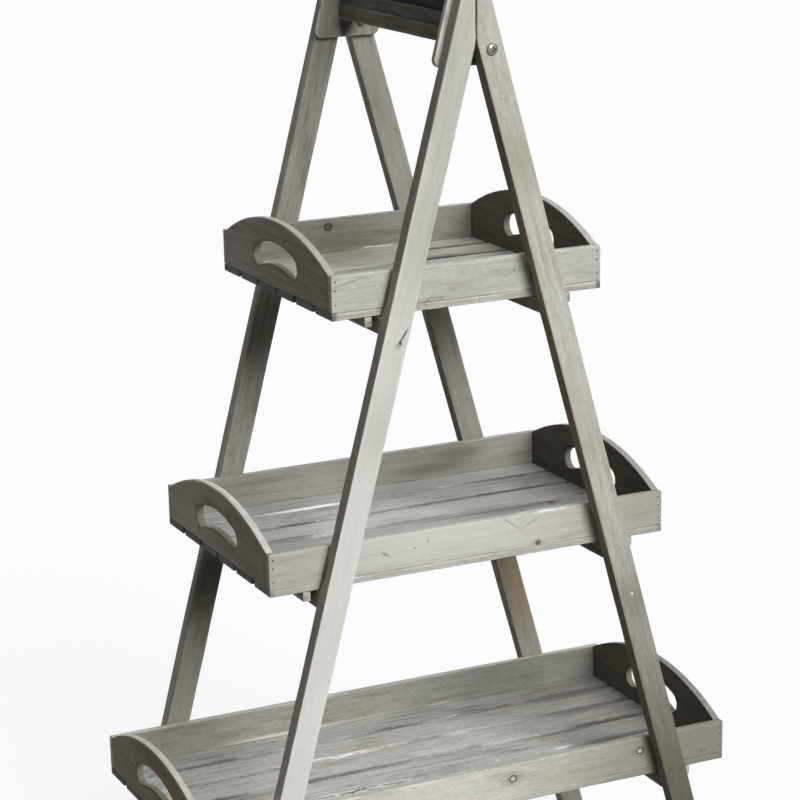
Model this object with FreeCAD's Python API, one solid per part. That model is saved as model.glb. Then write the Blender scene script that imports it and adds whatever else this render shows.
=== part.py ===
import FreeCAD, Part
import math
import os

# Folding A-frame plant stand with three lift-out trays and a small chalkboard along its ridge.
# All lengths are in millimetres. +X runs along the trays, -Y is the front and +Z is up.
# The origin is on the floor, under the middle of the stand.

Vector = FreeCAD.Vector

# Leg frames: the heads are cut level at the top, and the outer edges of a leg pair would meet above it
LEG_WIDTH = 30.0
LEG_THICK = 19.0
LEG_LEAN_DEG = 15.3
TOP_HEIGHT = 1200.0
APEX_ABOVE_TOP = 20.0
FRAME_GAP = 329.0
MITRE_GAP = 0.8

# Cross battens between the front and rear legs, with a dowel at each end
BATTEN_HEIGHT = 19.0
DOWEL_RADIUS = 4.0
DOWEL_IN_LEG = 11.0
DOWEL_IN_BATTEN = 20.0

# Gusset plates behind the leg heads
GUSSET_THICK = 8.0
GUSSET_HEIGHT = 123.0
GUSSET_OVERHANG = 6.0
GUSSET_CORNER = 9.0

# Ridge bar and the framed chalkboard on it, between the foot of the gussets and their top
RIDGE_ABOVE_GUSSET_FOOT = 22.0
RIDGE_WIDTH = 22.0
RIDGE_HEIGHT = 18.0
SIGN_RAIL_WIDTH = 18.0
SIGN_RAIL_HEIGHT = 15.0
SIGN_BELOW_TOP = 3.0
BOARD_THICK = 6.0
BOARD_GROOVE = 5.0

# Pivot bolts of the folding legs
PIVOT_ABOVE_GUSSET_FOOT = 19.0
FOLD_GAP = 0.3
BOLT_RADIUS = 3.0
BOLT_CLEARANCE = 0.06
BOLT_HEAD_RADIUS = 6.5
BOLT_HEAD_HEIGHT = 3.6
BOLT_HEAD_BEVEL = 2.0
BOLT_SPARE = 2.0
CROSS_LENGTH = 7.0
CROSS_WIDTH = 1.6
CROSS_DEPTH = 1.8
WASHER_RADIUS = 6.0
WASHER_THICK = 1.6
NUT_FLATS = 10.0
NUT_HEIGHT = 5.0
HEX_SIDES = 6

# Countersunk wood screws: left legs to gussets, and gussets to ridge bar
SCREW_RADIUS = 1.75
SCREW_HEAD_RADIUS = 3.5
SCREW_HEAD_DEPTH = 2.6
SCREW_TIP = 3.0
LEG_SCREW_LENGTH = 24.0
LEG_SCREW_HEIGHT_SHARES = (0.33, 0.67)
RIDGE_SCREW_LENGTH = 30.0

# Trays: the height is that of the underside of the floor, which rests on the battens
TOP_TRAY_LENGTH = 340.0
TOP_TRAY_HEIGHT = 808.0
MIDDLE_TRAY_LENGTH = 511.0
MIDDLE_TRAY_HEIGHT = 499.5
BOTTOM_TRAY_LENGTH = 696.0
BOTTOM_TRAY_HEIGHT = 186.5
TRAY_CLEARANCE = 5.5
RAIL_THICK = 9.0
RAIL_HEIGHT = 42.0
END_THICK = 9.0
ARCH_RISE = 36.5
SLAT_COUNT = 6
SLAT_THICK = 8.8
SLAT_GAP = 7.5

# Kidney-shaped hand hole: a slot bent along an arc
HOLE_SPAN = 100.0
HOLE_BEND = 8.75
HOLE_WIDTH = 26.0
HOLE_HEIGHT = 30.7

# Cleats under the floor, just outside the battens
CLEAT_WIDTH = 9.5
CLEAT_HEIGHT = 12.0
CLEAT_CLEARANCE = 3.0
CLEAT_INSET = 1.0

# Nails through rails and slats into the end boards
NAIL_RADIUS = 0.9
NAIL_HEAD_RADIUS = 1.8
NAIL_HEAD_THICK = 1.0
NAIL_LENGTH = 20.0
NAIL_TIP = 2.0
NAIL_HEIGHT_SHARES = (0.22, 0.78)

# Driven fasteners have flat sides, and their points narrow to a share of the shank
SCREW_SIDES = 6
NAIL_SIDES = 4
SPIKE_POINT_SHARE = 0.3

# One overrun serves all cuts
OVERRUN = 1.0

# Derived values
LEAN_RUN = math.tan(math.radians(LEG_LEAN_DEG))
LEG_LEVEL_WIDTH = LEG_WIDTH / math.cos(math.radians(LEG_LEAN_DEG))
APEX_HEIGHT = TOP_HEIGHT + APEX_ABOVE_TOP
LEG_FACE_Y = FRAME_GAP / 2
LEG_OUTER_Y = LEG_FACE_Y + LEG_THICK
GUSSET_FACE_Y = LEG_FACE_Y - GUSSET_THICK
GUSSET_BOTTOM = TOP_HEIGHT - GUSSET_HEIGHT
PIVOT_HEIGHT = GUSSET_BOTTOM + PIVOT_ABOVE_GUSSET_FOOT
RIDGE_BOTTOM = GUSSET_BOTTOM + RIDGE_ABOVE_GUSSET_FOOT
SIGN_BOTTOM = RIDGE_BOTTOM + RIDGE_HEIGHT
SIGN_TOP = TOP_HEIGHT - SIGN_BELOW_TOP
TRAY_DEPTH = FRAME_GAP - 2 * TRAY_CLEARANCE
SLAT_WIDTH = (TRAY_DEPTH - (SLAT_COUNT - 1) * SLAT_GAP) / SLAT_COUNT

LEFT, RIGHT = -1, 1
FRONT, REAR = -1, 1
SIDE_NAMES = {LEFT: "left", RIGHT: "right"}
DEPTH_NAMES = {FRONT: "front", REAR: "rear"}
TRAYS = {
    "top": (TOP_TRAY_LENGTH, TOP_TRAY_HEIGHT),
    "middle": (MIDDLE_TRAY_LENGTH, MIDDLE_TRAY_HEIGHT),
    "bottom": (BOTTOM_TRAY_LENGTH, BOTTOM_TRAY_HEIGHT),
}


def leg_edge(height):
    """Distance from the centre plane to a leg's outer edge at a height."""
    return (APEX_HEIGHT - height) * LEAN_RUN


def leg_centre(height):
    """Distance from the centre plane to the middle of a leg at a height."""
    return leg_edge(height) - LEG_LEVEL_WIDTH / 2


def head_centre(height):
    """Distance from the centre plane to the middle of a mitred leg head at a height."""
    return (leg_edge(height) + MITRE_GAP / 2) / 2


def fold_gap(side):
    """Running gap between a leg and its gusset: the right legs swing, the left ones are fixed."""
    return FOLD_GAP if side == RIGHT else 0


def flat_face(corners):
    """Flat face from its corners."""
    return Part.Face(Part.makePolygon(corners + corners[:1]))


def plate(outline, y_start, y_end):
    """Flat plate between two depths, from an outline of (x, z) points."""
    face = flat_face([Vector(x, y_start, z) for x, z in outline])
    return face.extrude(Vector(0, y_end - y_start, 0))


def block(x_low, x_high, y_low, y_high, z_low, z_high):
    """Square-edged board between six planes."""
    return Part.makeBox(x_high - x_low, y_high - y_low, z_high - z_low, Vector(x_low, y_low, z_low))


def level_polygon(radius, height, sides):
    """Corners of a level regular polygon about Z, by its corner radius."""
    angles = [2 * math.pi * step / sides for step in range(sides)]
    return [Vector(radius * math.cos(angle), radius * math.sin(angle), height) for angle in angles]


def spike(stations, sides):
    """Driven fastener along +Z: flat sides from ring to ring, each ring a (radius, height) station."""
    rings = [level_polygon(radius, height, sides) for radius, height in stations]
    faces = [flat_face(rings[0]), flat_face(rings[-1])]
    for low, high in zip(rings, rings[1:]):
        for corner in range(sides):
            before = corner - 1
            faces.append(flat_face([low[before], low[corner], high[corner], high[before]]))
    return Part.makeSolid(Part.makeShell(faces))


def aimed(shape, start, direction):
    """Copy of a shape made along +Z, moved to a point and turned to a direction."""
    moved = shape.copy()
    turn = FreeCAD.Rotation(Vector(0, 0, 1), Vector(*direction))
    moved.Placement = FreeCAD.Placement(Vector(*start), turn)
    return moved


def cylinder_along_y(radius, x, z, y_low, y_high):
    """Round bar along the depth of the stand."""
    return Part.makeCylinder(radius, y_high - y_low, Vector(x, y_low, z), Vector(0, 1, 0))


def pivot_centre():
    """Place of the folding pivot in the (x, z) plane, on the middle of the right legs."""
    return leg_centre(PIVOT_HEIGHT), PIVOT_HEIGHT


def wood_screw(length):
    """Countersunk wood screw along +Z, with its head flush at the origin."""
    neck, shank_end = (SCREW_RADIUS, SCREW_HEAD_DEPTH), (SCREW_RADIUS, length - SCREW_TIP)
    point = (SCREW_RADIUS * SPIKE_POINT_SHARE, length)
    return spike([(SCREW_HEAD_RADIUS, 0), neck, shank_end, point], SCREW_SIDES)


def nail():
    """Flat-headed nail along +Z, with its head flush at the origin."""
    head, head_back = (NAIL_HEAD_RADIUS, 0), (NAIL_HEAD_RADIUS, NAIL_HEAD_THICK)
    neck, shank_end = (NAIL_RADIUS, NAIL_HEAD_THICK), (NAIL_RADIUS, NAIL_LENGTH - NAIL_TIP)
    point = (NAIL_RADIUS * SPIKE_POINT_SHARE, NAIL_LENGTH)
    return spike([head, head_back, neck, shank_end, point], NAIL_SIDES)


def gusset_screws(depth):
    """The two screws that hold one left leg to its gusset, driven from outside."""
    screw = wood_screw(LEG_SCREW_LENGTH)
    heights = [GUSSET_BOTTOM + share * GUSSET_HEIGHT for share in LEG_SCREW_HEIGHT_SHARES]
    return [
        aimed(screw, (LEFT * head_centre(height), depth * LEG_OUTER_Y, height), (0, -depth, 0))
        for height in heights
    ]


def ridge_screw(depth):
    """The screw that holds one end of the ridge bar, flush in the gusset behind the leg heads."""
    height = RIDGE_BOTTOM + RIDGE_HEIGHT / 2
    return aimed(wood_screw(RIDGE_SCREW_LENGTH), (0, depth * LEG_FACE_Y, height), (0, -depth, 0))


def batten_dowels(side, depth):
    """Dowels between one leg and the ends of its three battens."""
    joint = depth * (LEG_FACE_Y + fold_gap(side))
    y_low, y_high = sorted((joint + depth * DOWEL_IN_LEG, joint - depth * DOWEL_IN_BATTEN))
    heights = [floor - BATTEN_HEIGHT / 2 for length, floor in TRAYS.values()]
    return [
        cylinder_along_y(DOWEL_RADIUS, side * leg_centre(height), height, y_low, y_high)
        for height in heights
    ]


def leg(side, depth):
    """Leg with its head mitred on the centre plane and its foot cut level."""
    mitre = MITRE_GAP / 2
    mitre_foot = APEX_HEIGHT - (mitre + LEG_LEVEL_WIDTH) / LEAN_RUN
    outline = [
        (leg_edge(0), 0),
        (leg_edge(TOP_HEIGHT), TOP_HEIGHT),
        (mitre, TOP_HEIGHT),
        (mitre, mitre_foot),
        (leg_edge(0) - LEG_LEVEL_WIDTH, 0),
    ]
    inner_y = depth * (LEG_FACE_Y + fold_gap(side))
    solid = plate([(side * x, z) for x, z in outline], inner_y, inner_y + depth * LEG_THICK)
    bores = batten_dowels(side, depth)
    if side == RIGHT:
        bores.append(pivot_bore(depth))
    return solid.cut(bores)


def pivot_bore(depth):
    """Bore for a pivot bolt, through leg and gusset."""
    x, z = pivot_centre()
    y_low, y_high = sorted((depth * (LEG_OUTER_Y + FOLD_GAP + OVERRUN), depth * (GUSSET_FACE_Y - OVERRUN)))
    return cylinder_along_y(BOLT_RADIUS + BOLT_CLEARANCE, x, z, y_low, y_high)


def batten(side, floor):
    """Cross batten under one side of a tray, bevelled flush with the legs."""
    bottom = floor - BATTEN_HEIGHT
    outline = [
        (leg_edge(bottom), bottom),
        (leg_edge(floor), floor),
        (leg_edge(floor) - LEG_LEVEL_WIDTH, floor),
        (leg_edge(bottom) - LEG_LEVEL_WIDTH, bottom),
    ]
    end_y = LEG_FACE_Y + fold_gap(side)
    solid = plate([(side * x, z) for x, z in outline], -end_y, end_y)
    return solid.cut(batten_dowels(side, FRONT) + batten_dowels(side, REAR))


def gusset(depth):
    """Plate behind a pair of leg heads: it follows their slope, stands proud of them and is rounded below."""
    bottom_half = leg_edge(GUSSET_BOTTOM) + GUSSET_OVERHANG
    top_half = leg_edge(TOP_HEIGHT) + GUSSET_OVERHANG
    outline = [
        (-bottom_half, GUSSET_BOTTOM),
        (bottom_half, GUSSET_BOTTOM),
        (top_half, TOP_HEIGHT),
        (-top_half, TOP_HEIGHT),
    ]
    solid = plate(outline, depth * GUSSET_FACE_Y, depth * LEG_FACE_Y)
    low_edges = [
        edge for edge in solid.Edges
        if edge.BoundBox.YLength > edge.BoundBox.XLength and edge.BoundBox.ZMax < TOP_HEIGHT
    ]
    return solid.makeFillet(GUSSET_CORNER, low_edges).cut(pivot_bore(depth))


def ridge_bar():
    """Bar between the gussets, which carries the sign."""
    half = RIDGE_WIDTH / 2
    return block(-half, half, -GUSSET_FACE_Y, GUSSET_FACE_Y, RIDGE_BOTTOM, SIGN_BOTTOM)


def sign_board():
    """Chalkboard, held in the grooves of its two rails."""
    half = BOARD_THICK / 2
    low = SIGN_BOTTOM + SIGN_RAIL_HEIGHT - BOARD_GROOVE
    high = SIGN_TOP - SIGN_RAIL_HEIGHT + BOARD_GROOVE
    return block(-half, half, -GUSSET_FACE_Y, GUSSET_FACE_Y, low, high)


def sign_rail(bottom):
    """Grooved rail of the chalkboard's frame."""
    half = SIGN_RAIL_WIDTH / 2
    rail = block(-half, half, -GUSSET_FACE_Y, GUSSET_FACE_Y, bottom, bottom + SIGN_RAIL_HEIGHT)
    return rail.cut(sign_board())


def bolt_length():
    """Length of a pivot bolt under its head, through leg, gusset, washer and nut."""
    return LEG_THICK + 2 * FOLD_GAP + GUSSET_THICK + WASHER_THICK + NUT_HEIGHT + BOLT_SPARE


def pan_head_bolt():
    """Pan-head bolt with a cross recess, along +Z from under its head at the origin."""
    profile = [
        Vector(0, 0, -BOLT_HEAD_HEIGHT),
        Vector(BOLT_HEAD_RADIUS - BOLT_HEAD_BEVEL, 0, -BOLT_HEAD_HEIGHT),
        Vector(BOLT_HEAD_RADIUS, 0, BOLT_HEAD_BEVEL - BOLT_HEAD_HEIGHT),
        Vector(BOLT_HEAD_RADIUS, 0, 0),
        Vector(BOLT_RADIUS, 0, 0),
        Vector(BOLT_RADIUS, 0, bolt_length()),
        Vector(0, 0, bolt_length()),
    ]
    bolt = flat_face(profile).revolve(Vector(0, 0, 0), Vector(0, 0, 1), 360)
    floor = CROSS_DEPTH - BOLT_HEAD_HEIGHT
    top = -BOLT_HEAD_HEIGHT - OVERRUN
    long, narrow = CROSS_LENGTH / 2, CROSS_WIDTH / 2
    slots = [block(-long, long, -narrow, narrow, top, floor), block(-narrow, narrow, -long, long, top, floor)]
    return bolt.cut(slots[0].fuse(slots[1]))


def washer():
    """Flat washer along +Z from the origin."""
    ring = Part.makeCylinder(WASHER_RADIUS, WASHER_THICK)
    return ring.cut(Part.makeCylinder(BOLT_RADIUS + BOLT_CLEARANCE, WASHER_THICK))


def hex_nut():
    """Hexagon nut along +Z from the origin."""
    outline = level_polygon(NUT_FLATS / math.sqrt(3), 0, HEX_SIDES)
    prism = flat_face(outline).extrude(Vector(0, 0, NUT_HEIGHT))
    return prism.cut(Part.makeCylinder(BOLT_RADIUS + BOLT_CLEARANCE, NUT_HEIGHT))


def pivot_hardware():
    """Bolts, washers and nuts of the two folding pivots, each as a group."""
    x, z = pivot_centre()
    starts = {
        "pivot_bolts": (pan_head_bolt(), LEG_OUTER_Y + 2 * FOLD_GAP),
        "pivot_washers": (washer(), GUSSET_FACE_Y),
        "pivot_nuts": (hex_nut(), GUSSET_FACE_Y - WASHER_THICK),
    }
    return {
        name: Part.makeCompound([aimed(shape, (x, depth * y, z), (0, -depth, 0)) for depth in (FRONT, REAR)])
        for name, (shape, y) in starts.items()
    }


def hand_hole(x_low, x_high, centre_z):
    """Slot bent along an arc, with round ends, through an end board."""
    half_span, half_width = HOLE_SPAN / 2, HOLE_WIDTH / 2
    radius = (half_span ** 2 + HOLE_BEND ** 2) / (2 * HOLE_BEND)
    lean = math.asin(half_span / radius)
    arc_centre = centre_z + HOLE_BEND - radius

    def on_arc(angle, reach):
        return Vector(x_low, reach * math.sin(angle), arc_centre + reach * math.cos(angle))

    def end_tip(angle):
        along = math.copysign(half_width, angle)
        base = on_arc(angle, radius)
        return base + Vector(0, along * math.cos(angle), -along * math.sin(angle))

    outer, inner = radius + half_width, radius - half_width
    wire = Part.Wire([
        Part.Arc(on_arc(-lean, outer), on_arc(0, outer), on_arc(lean, outer)).toShape(),
        Part.Arc(on_arc(lean, outer), end_tip(lean), on_arc(lean, inner)).toShape(),
        Part.Arc(on_arc(lean, inner), on_arc(0, inner), on_arc(-lean, inner)).toShape(),
        Part.Arc(on_arc(-lean, inner), end_tip(-lean), on_arc(-lean, outer)).toShape(),
    ])
    return Part.Face(wire).extrude(Vector(x_high - x_low, 0, 0))


def end_board(side, length, floor):
    """Arched end of a tray, between its rails, with a hand hole."""
    half = TRAY_DEPTH / 2 - RAIL_THICK
    bottom = floor + SLAT_THICK
    shoulder = bottom + RAIL_HEIGHT
    x_low, x_high = sorted((side * length / 2, side * (length / 2 - END_THICK)))
    front_low, rear_low = Vector(x_low, -half, bottom), Vector(x_low, half, bottom)
    front_high, rear_high = Vector(x_low, -half, shoulder), Vector(x_low, half, shoulder)
    crown = Vector(x_low, 0, shoulder + ARCH_RISE)
    wire = Part.Wire([
        Part.makeLine(front_low, rear_low),
        Part.makeLine(rear_low, rear_high),
        Part.Arc(rear_high, crown, front_high).toShape(),
        Part.makeLine(front_high, front_low),
    ])
    solid = Part.Face(wire).extrude(Vector(x_high - x_low, 0, 0))
    hole = hand_hole(x_low - OVERRUN, x_high + OVERRUN, bottom + HOLE_HEIGHT)
    return solid.cut(hole)


def rail(depth, length, floor):
    """Long side of a tray, on its outer slat."""
    y_low, y_high = sorted((depth * TRAY_DEPTH / 2, depth * (TRAY_DEPTH / 2 - RAIL_THICK)))
    bottom = floor + SLAT_THICK
    return block(-length / 2, length / 2, y_low, y_high, bottom, bottom + RAIL_HEIGHT)


def slat_front(index):
    """Depth of a floor slat's front edge."""
    return index * (SLAT_WIDTH + SLAT_GAP) - TRAY_DEPTH / 2


def slat(index, length, floor):
    """Floor slat along a tray, counted from the front."""
    front = slat_front(index)
    return block(-length / 2, length / 2, front, front + SLAT_WIDTH, floor, floor + SLAT_THICK)


def cleats(floor):
    """The two strips under a tray's floor, just outside the battens."""
    inner = leg_edge(floor - BATTEN_HEIGHT) + CLEAT_CLEARANCE
    end = TRAY_DEPTH / 2 - CLEAT_INSET
    strips = []
    for side in (LEFT, RIGHT):
        x_low, x_high = sorted((side * inner, side * (inner + CLEAT_WIDTH)))
        strips.append(block(x_low, x_high, -end, end, floor - CLEAT_HEIGHT, floor))
    return Part.makeCompound(strips)


def tray_nails(length, floor):
    """Nails of a tray: through the rails, and up through the slats, into both end boards."""
    pin = nail()
    nails = []
    for side in (LEFT, RIGHT):
        x = side * (length - END_THICK) / 2
        for depth in (FRONT, REAR):
            for share in NAIL_HEIGHT_SHARES:
                z = floor + SLAT_THICK + share * RAIL_HEIGHT
                nails.append(aimed(pin, (x, depth * TRAY_DEPTH / 2, z), (0, -depth, 0)))
        for index in range(SLAT_COUNT):
            nails.append(aimed(pin, (x, slat_front(index) + SLAT_WIDTH / 2, floor), (0, 0, 1)))
    return nails


def tray(name, length, floor):
    """All the nodes of one tray."""
    nodes = {
        f"{name}_tray_front_rail": rail(FRONT, length, floor),
        f"{name}_tray_back_rail": rail(REAR, length, floor),
        f"{name}_tray_left_end": end_board(LEFT, length, floor),
        f"{name}_tray_right_end": end_board(RIGHT, length, floor),
        f"{name}_tray_cleats": cleats(floor),
        f"{name}_tray_nails": Part.makeCompound(tray_nails(length, floor)),
    }
    for index in range(SLAT_COUNT):
        nodes[f"{name}_tray_slat_{index + 1}"] = slat(index, length, floor)
    return nodes


def frame():
    """Legs, battens, gussets, dowels and screws of both halves of the frame."""
    nodes = {}
    for side, side_name in SIDE_NAMES.items():
        for depth, depth_name in DEPTH_NAMES.items():
            nodes[f"{depth_name}_{side_name}_leg"] = leg(side, depth)
        for tray_name, (length, floor) in TRAYS.items():
            nodes[f"{side_name}_{tray_name}_batten"] = batten(side, floor)
        dowels = batten_dowels(side, FRONT) + batten_dowels(side, REAR)
        nodes[f"{side_name}_dowels"] = Part.makeCompound(dowels)
    for depth, depth_name in DEPTH_NAMES.items():
        nodes[f"{depth_name}_gusset"] = gusset(depth)
    nodes["gusset_screws"] = Part.makeCompound(gusset_screws(FRONT) + gusset_screws(REAR))
    return nodes


def ridge():
    """Ridge bar with its screws, and the chalkboard with its rails."""
    return {
        "ridge_bar": ridge_bar(),
        "ridge_screws": Part.makeCompound([ridge_screw(FRONT), ridge_screw(REAR)]),
        "sign_bottom_rail": sign_rail(SIGN_BOTTOM),
        "sign_board": sign_board(),
        "sign_top_rail": sign_rail(SIGN_TOP - SIGN_RAIL_HEIGHT),
    }


def main():
    """Build every node and write each to its own file."""
    nodes = {**frame(), **ridge(), **pivot_hardware()}
    for name, (length, floor) in TRAYS.items():
        nodes.update(tray(name, length, floor))
    os.makedirs("parts", exist_ok=True)
    for name, shape in nodes.items():
        shape.exportStep(f"parts/{name}.step")
    print(f"{len(nodes)} nodes")


main()
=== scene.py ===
"""Looks of a tiered plant stand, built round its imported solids.

Every board is a worn plank worked out with numpy: a section carried along the board, with eased edges that wear
unevenly. The finishes are thin grey paint over softwood, plain steel and a chalkboard. Lengths are in metres in
the part's own frame, with +X along the trays, -Y the front and +Z up. Only marks in the wood are in millimetres.
"""

from __future__ import annotations

import logging
import math
from dataclasses import dataclass, replace
from enum import Enum

import bpy
import numpy as np
from mathutils import Matrix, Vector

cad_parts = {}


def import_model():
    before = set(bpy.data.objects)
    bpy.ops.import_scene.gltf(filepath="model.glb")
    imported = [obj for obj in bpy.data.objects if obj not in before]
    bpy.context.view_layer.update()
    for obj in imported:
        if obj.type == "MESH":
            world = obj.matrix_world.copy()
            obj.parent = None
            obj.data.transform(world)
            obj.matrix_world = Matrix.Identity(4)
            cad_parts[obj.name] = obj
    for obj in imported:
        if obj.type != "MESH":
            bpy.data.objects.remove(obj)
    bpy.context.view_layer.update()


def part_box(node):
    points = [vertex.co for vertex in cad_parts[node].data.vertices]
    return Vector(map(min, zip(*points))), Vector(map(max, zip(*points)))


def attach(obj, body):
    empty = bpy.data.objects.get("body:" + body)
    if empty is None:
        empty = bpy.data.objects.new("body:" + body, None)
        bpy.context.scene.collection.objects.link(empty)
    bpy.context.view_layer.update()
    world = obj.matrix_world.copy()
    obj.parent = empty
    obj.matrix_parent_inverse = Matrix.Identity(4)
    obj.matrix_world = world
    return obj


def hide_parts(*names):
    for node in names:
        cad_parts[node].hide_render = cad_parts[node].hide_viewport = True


LOG = logging.getLogger("plant_stand")
MM = 0.001
FIRST_SEED = 1000
BOARD_STEP = 0.618034
SHARP_DEG = 38.0
X_AXIS = np.array([1.0, 0.0, 0.0])
UP = (0.0, 0.0, 1.0)
WHITE = (1.0, 1.0, 1.0, 1.0)
TRAYS = ("top", "middle", "bottom")

# Points round turned pieces.
FINE_ROUND = 72
PLAIN_ROUND = 48
SCREW_ROUND = 16
NAIL_ROUND = 14

Array = np.ndarray
Rng = np.random.Generator
Colour = tuple[int, int, int]
Tone = tuple[float, ...]
Place = tuple[float, float, float]
Axis = tuple[Place, Place]
Socket = bpy.types.NodeSocket
Inputs = dict[int | str, object]
Layer = tuple[Socket, Tone, str]


class Named(Enum):
    """Choice whose name is part of the nodes' names."""

    @property
    def word(self) -> str:
        """The choice as the nodes spell it."""
        return self.name.lower()


class Side(Named):
    """Side of the stand, by the sign of X."""

    LEFT = -1
    RIGHT = 1


class Depth(Named):
    """Front or rear of the stand, by the sign of Y."""

    FRONT = -1
    REAR = 1

    @property
    def inwards(self) -> Place:
        """Direction from there into the stand."""
        return 0.0, -float(self.value), 0.0


class Way(Enum):
    """Way that a board's grain runs, as an axis of the part."""

    ALONG_TRAY = 0
    FRONT_TO_BACK = 1


class MarkKind(Enum):
    """How a mark lies on the wood."""

    PATCH = "patch"
    RING = "ring"
    FLAKES = "flakes"
    SHADE = "shade"


def linear(colour: Colour) -> Tone:
    """Colour as shaders take it, from one in display values of 0 to 255.

    Args:
        colour: Red, green and blue as they look on a screen.

    Returns:
        The linear colour with full opacity.
    """
    shares = np.array(colour) / 255.0
    low, high = shares / 12.92, ((shares + 0.055) / 1.055) ** 2.4
    return (*np.where(shares <= 0.04045, low, high).tolist(), 1.0)


def toned(colour: Colour, share: float) -> Colour:
    """Colour that gives back a share of the light, by the usual curve of a screen."""
    red, green, blue = (min(round(part * share ** (1.0 / 2.2)), 255) for part in colour)
    return red, green, blue


def drift(rng: Rng, along: Array, spacing: float) -> Array:
    """Slow random curve: random values at even steps, eased from each to the next by half a cosine.

    Args:
        rng: Seeded source of the random values.
        along: Places along the curve.
        spacing: Distance between the random values.

    Returns:
        The curve's height at each place, between -1 and 1.
    """
    place = (along - along.min()) / spacing
    step = np.floor(place).astype(int)
    values = rng.uniform(-1.0, 1.0, step.max() + 2)
    ease = 0.5 - 0.5 * np.cos(np.pi * (place - step))
    return values[step] * (1.0 - ease) + values[step + 1] * ease


def quarter_round(radius: Array | float) -> tuple[Array, Array]:
    """Points of an eased edge: how far each lies inside one face, by 1 - cosine, and the next, by 1 - sine."""
    angle = np.linspace(0.0, math.pi / 2, 4)
    return radius * (1.0 - np.cos(angle)), radius * (1.0 - np.sin(angle))


def round_angles(count: int) -> Array:
    """Even angles of a full turn, in one row."""
    return np.linspace(0.0, 2.0 * math.pi, count, endpoint=False)[None, :]


def eased_step(distance: Array, limit: float, wall: float) -> Array:
    """1 within a distance and 0 beyond it, with a sloping wall between."""
    return np.clip((limit + wall / 2.0 - np.abs(distance)) / wall, 0.0, 1.0)


@dataclass
class Surface:
    """Points and faces of one piece, and what its finish reads at each point.

    Attributes:
        points: Place of each point, one row each.
        quads: Four point numbers for each face.
        caps: Point numbers round each flat end.
        grain: Each point's place in its board: along, across and through the wood.
        worn: How near each point is to an arris, from 0 on a flat to 1 on the edge, or -1 round a hand hole, which
            takes painted shade.
    """

    points: Array
    quads: Array
    caps: list[Array]
    grain: Array
    worn: Array

    def faces(self) -> list[list[int]]:
        """All faces, turned to point outwards by the sign of the volume that they enclose.

        Returns:
            The point numbers of each face.
        """
        corners = self.points[self.quads]
        halves = [corners[:, [0, 1, 2]], corners[:, [0, 2, 3]]]
        for cap in self.caps:
            fan = np.stack([np.full(len(cap) - 2, cap[0]), cap[1:-1], cap[2:]], axis=1)
            halves.append(self.points[fan])
        corner, second, third = np.concatenate(halves).transpose(1, 0, 2)
        volume = np.einsum("ij,ij->", corner, np.cross(second, third))
        step = 1 if volume > 0.0 else -1
        return self.quads[:, ::step].tolist() + [cap[::step].tolist() for cap in self.caps]

    def to_object(self, name: str, board: float) -> bpy.types.Object:
        """The surface as an object at the origin.

        Args:
            name: Name of the object.
            board: Number of the board between 0 and 1, which shifts its grain and tone.

        Returns:
            The new object, linked to the scene.
        """
        mesh = bpy.data.meshes.new(name)
        mesh.from_pydata(self.points.tolist(), [], self.faces())
        mesh.attributes.new("grain", "FLOAT_VECTOR", "POINT").data.foreach_set("vector", self.grain.ravel())
        for label, values in (("worn", self.worn), ("board", np.full(len(self.points), board))):
            mesh.attributes.new(label, "FLOAT", "POINT").data.foreach_set("value", values)
        mesh.polygons.foreach_set("use_smooth", np.ones(len(mesh.polygons), bool))
        mesh.set_sharp_from_angle(angle=math.radians(SHARP_DEG))
        mesh.update()
        made = bpy.data.objects.new(name, mesh)
        bpy.context.scene.collection.objects.link(made)
        return made


def joined(surfaces: list[Surface]) -> Surface:
    """Several surfaces as one.

    Args:
        surfaces: The surfaces, which keep their own faces.

    Returns:
        One surface with all of them.
    """
    starts = np.cumsum([0] + [len(surface.points) for surface in surfaces[:-1]])
    return Surface(
        points=np.concatenate([surface.points for surface in surfaces]),
        quads=np.concatenate([surface.quads + start for surface, start in zip(surfaces, starts)]),
        caps=[cap + start for surface, start in zip(surfaces, starts) for cap in surface.caps],
        grain=np.concatenate([surface.grain for surface in surfaces]),
        worn=np.concatenate([surface.worn for surface in surfaces]),
    )


def tube_quads(stations: int, ring: int) -> Array:
    """Faces of a tube: each joins two neighbours on a ring to the same two on the next ring.

    Args:
        stations: Number of rings.
        ring: Number of points on each ring.

    Returns:
        Four point numbers for each face.
    """
    first = np.arange(stations - 1)[:, None] * ring
    here = np.arange(ring)[None, :]
    after = (here + 1) % ring
    return np.stack([first + here, first + after, first + ring + after, first + ring + here], axis=-1).reshape(-1, 4)


def tube(points: Array, grain: Array, worn: Array) -> Surface:
    """Closed tube from a grid of points by station and ring, with flat ends.

    Args:
        points: Grid of places.
        grain: Grid of places in the wood.
        worn: Grid of wear.

    Returns:
        The surface.
    """
    stations, ring = points.shape[:2]
    first = np.arange(ring)
    caps = [first[::-1], first + (stations - 1) * ring]
    return Surface(points.reshape(-1, 3), tube_quads(stations, ring), caps, grain.reshape(-1, 3), worn.reshape(-1))


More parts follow.
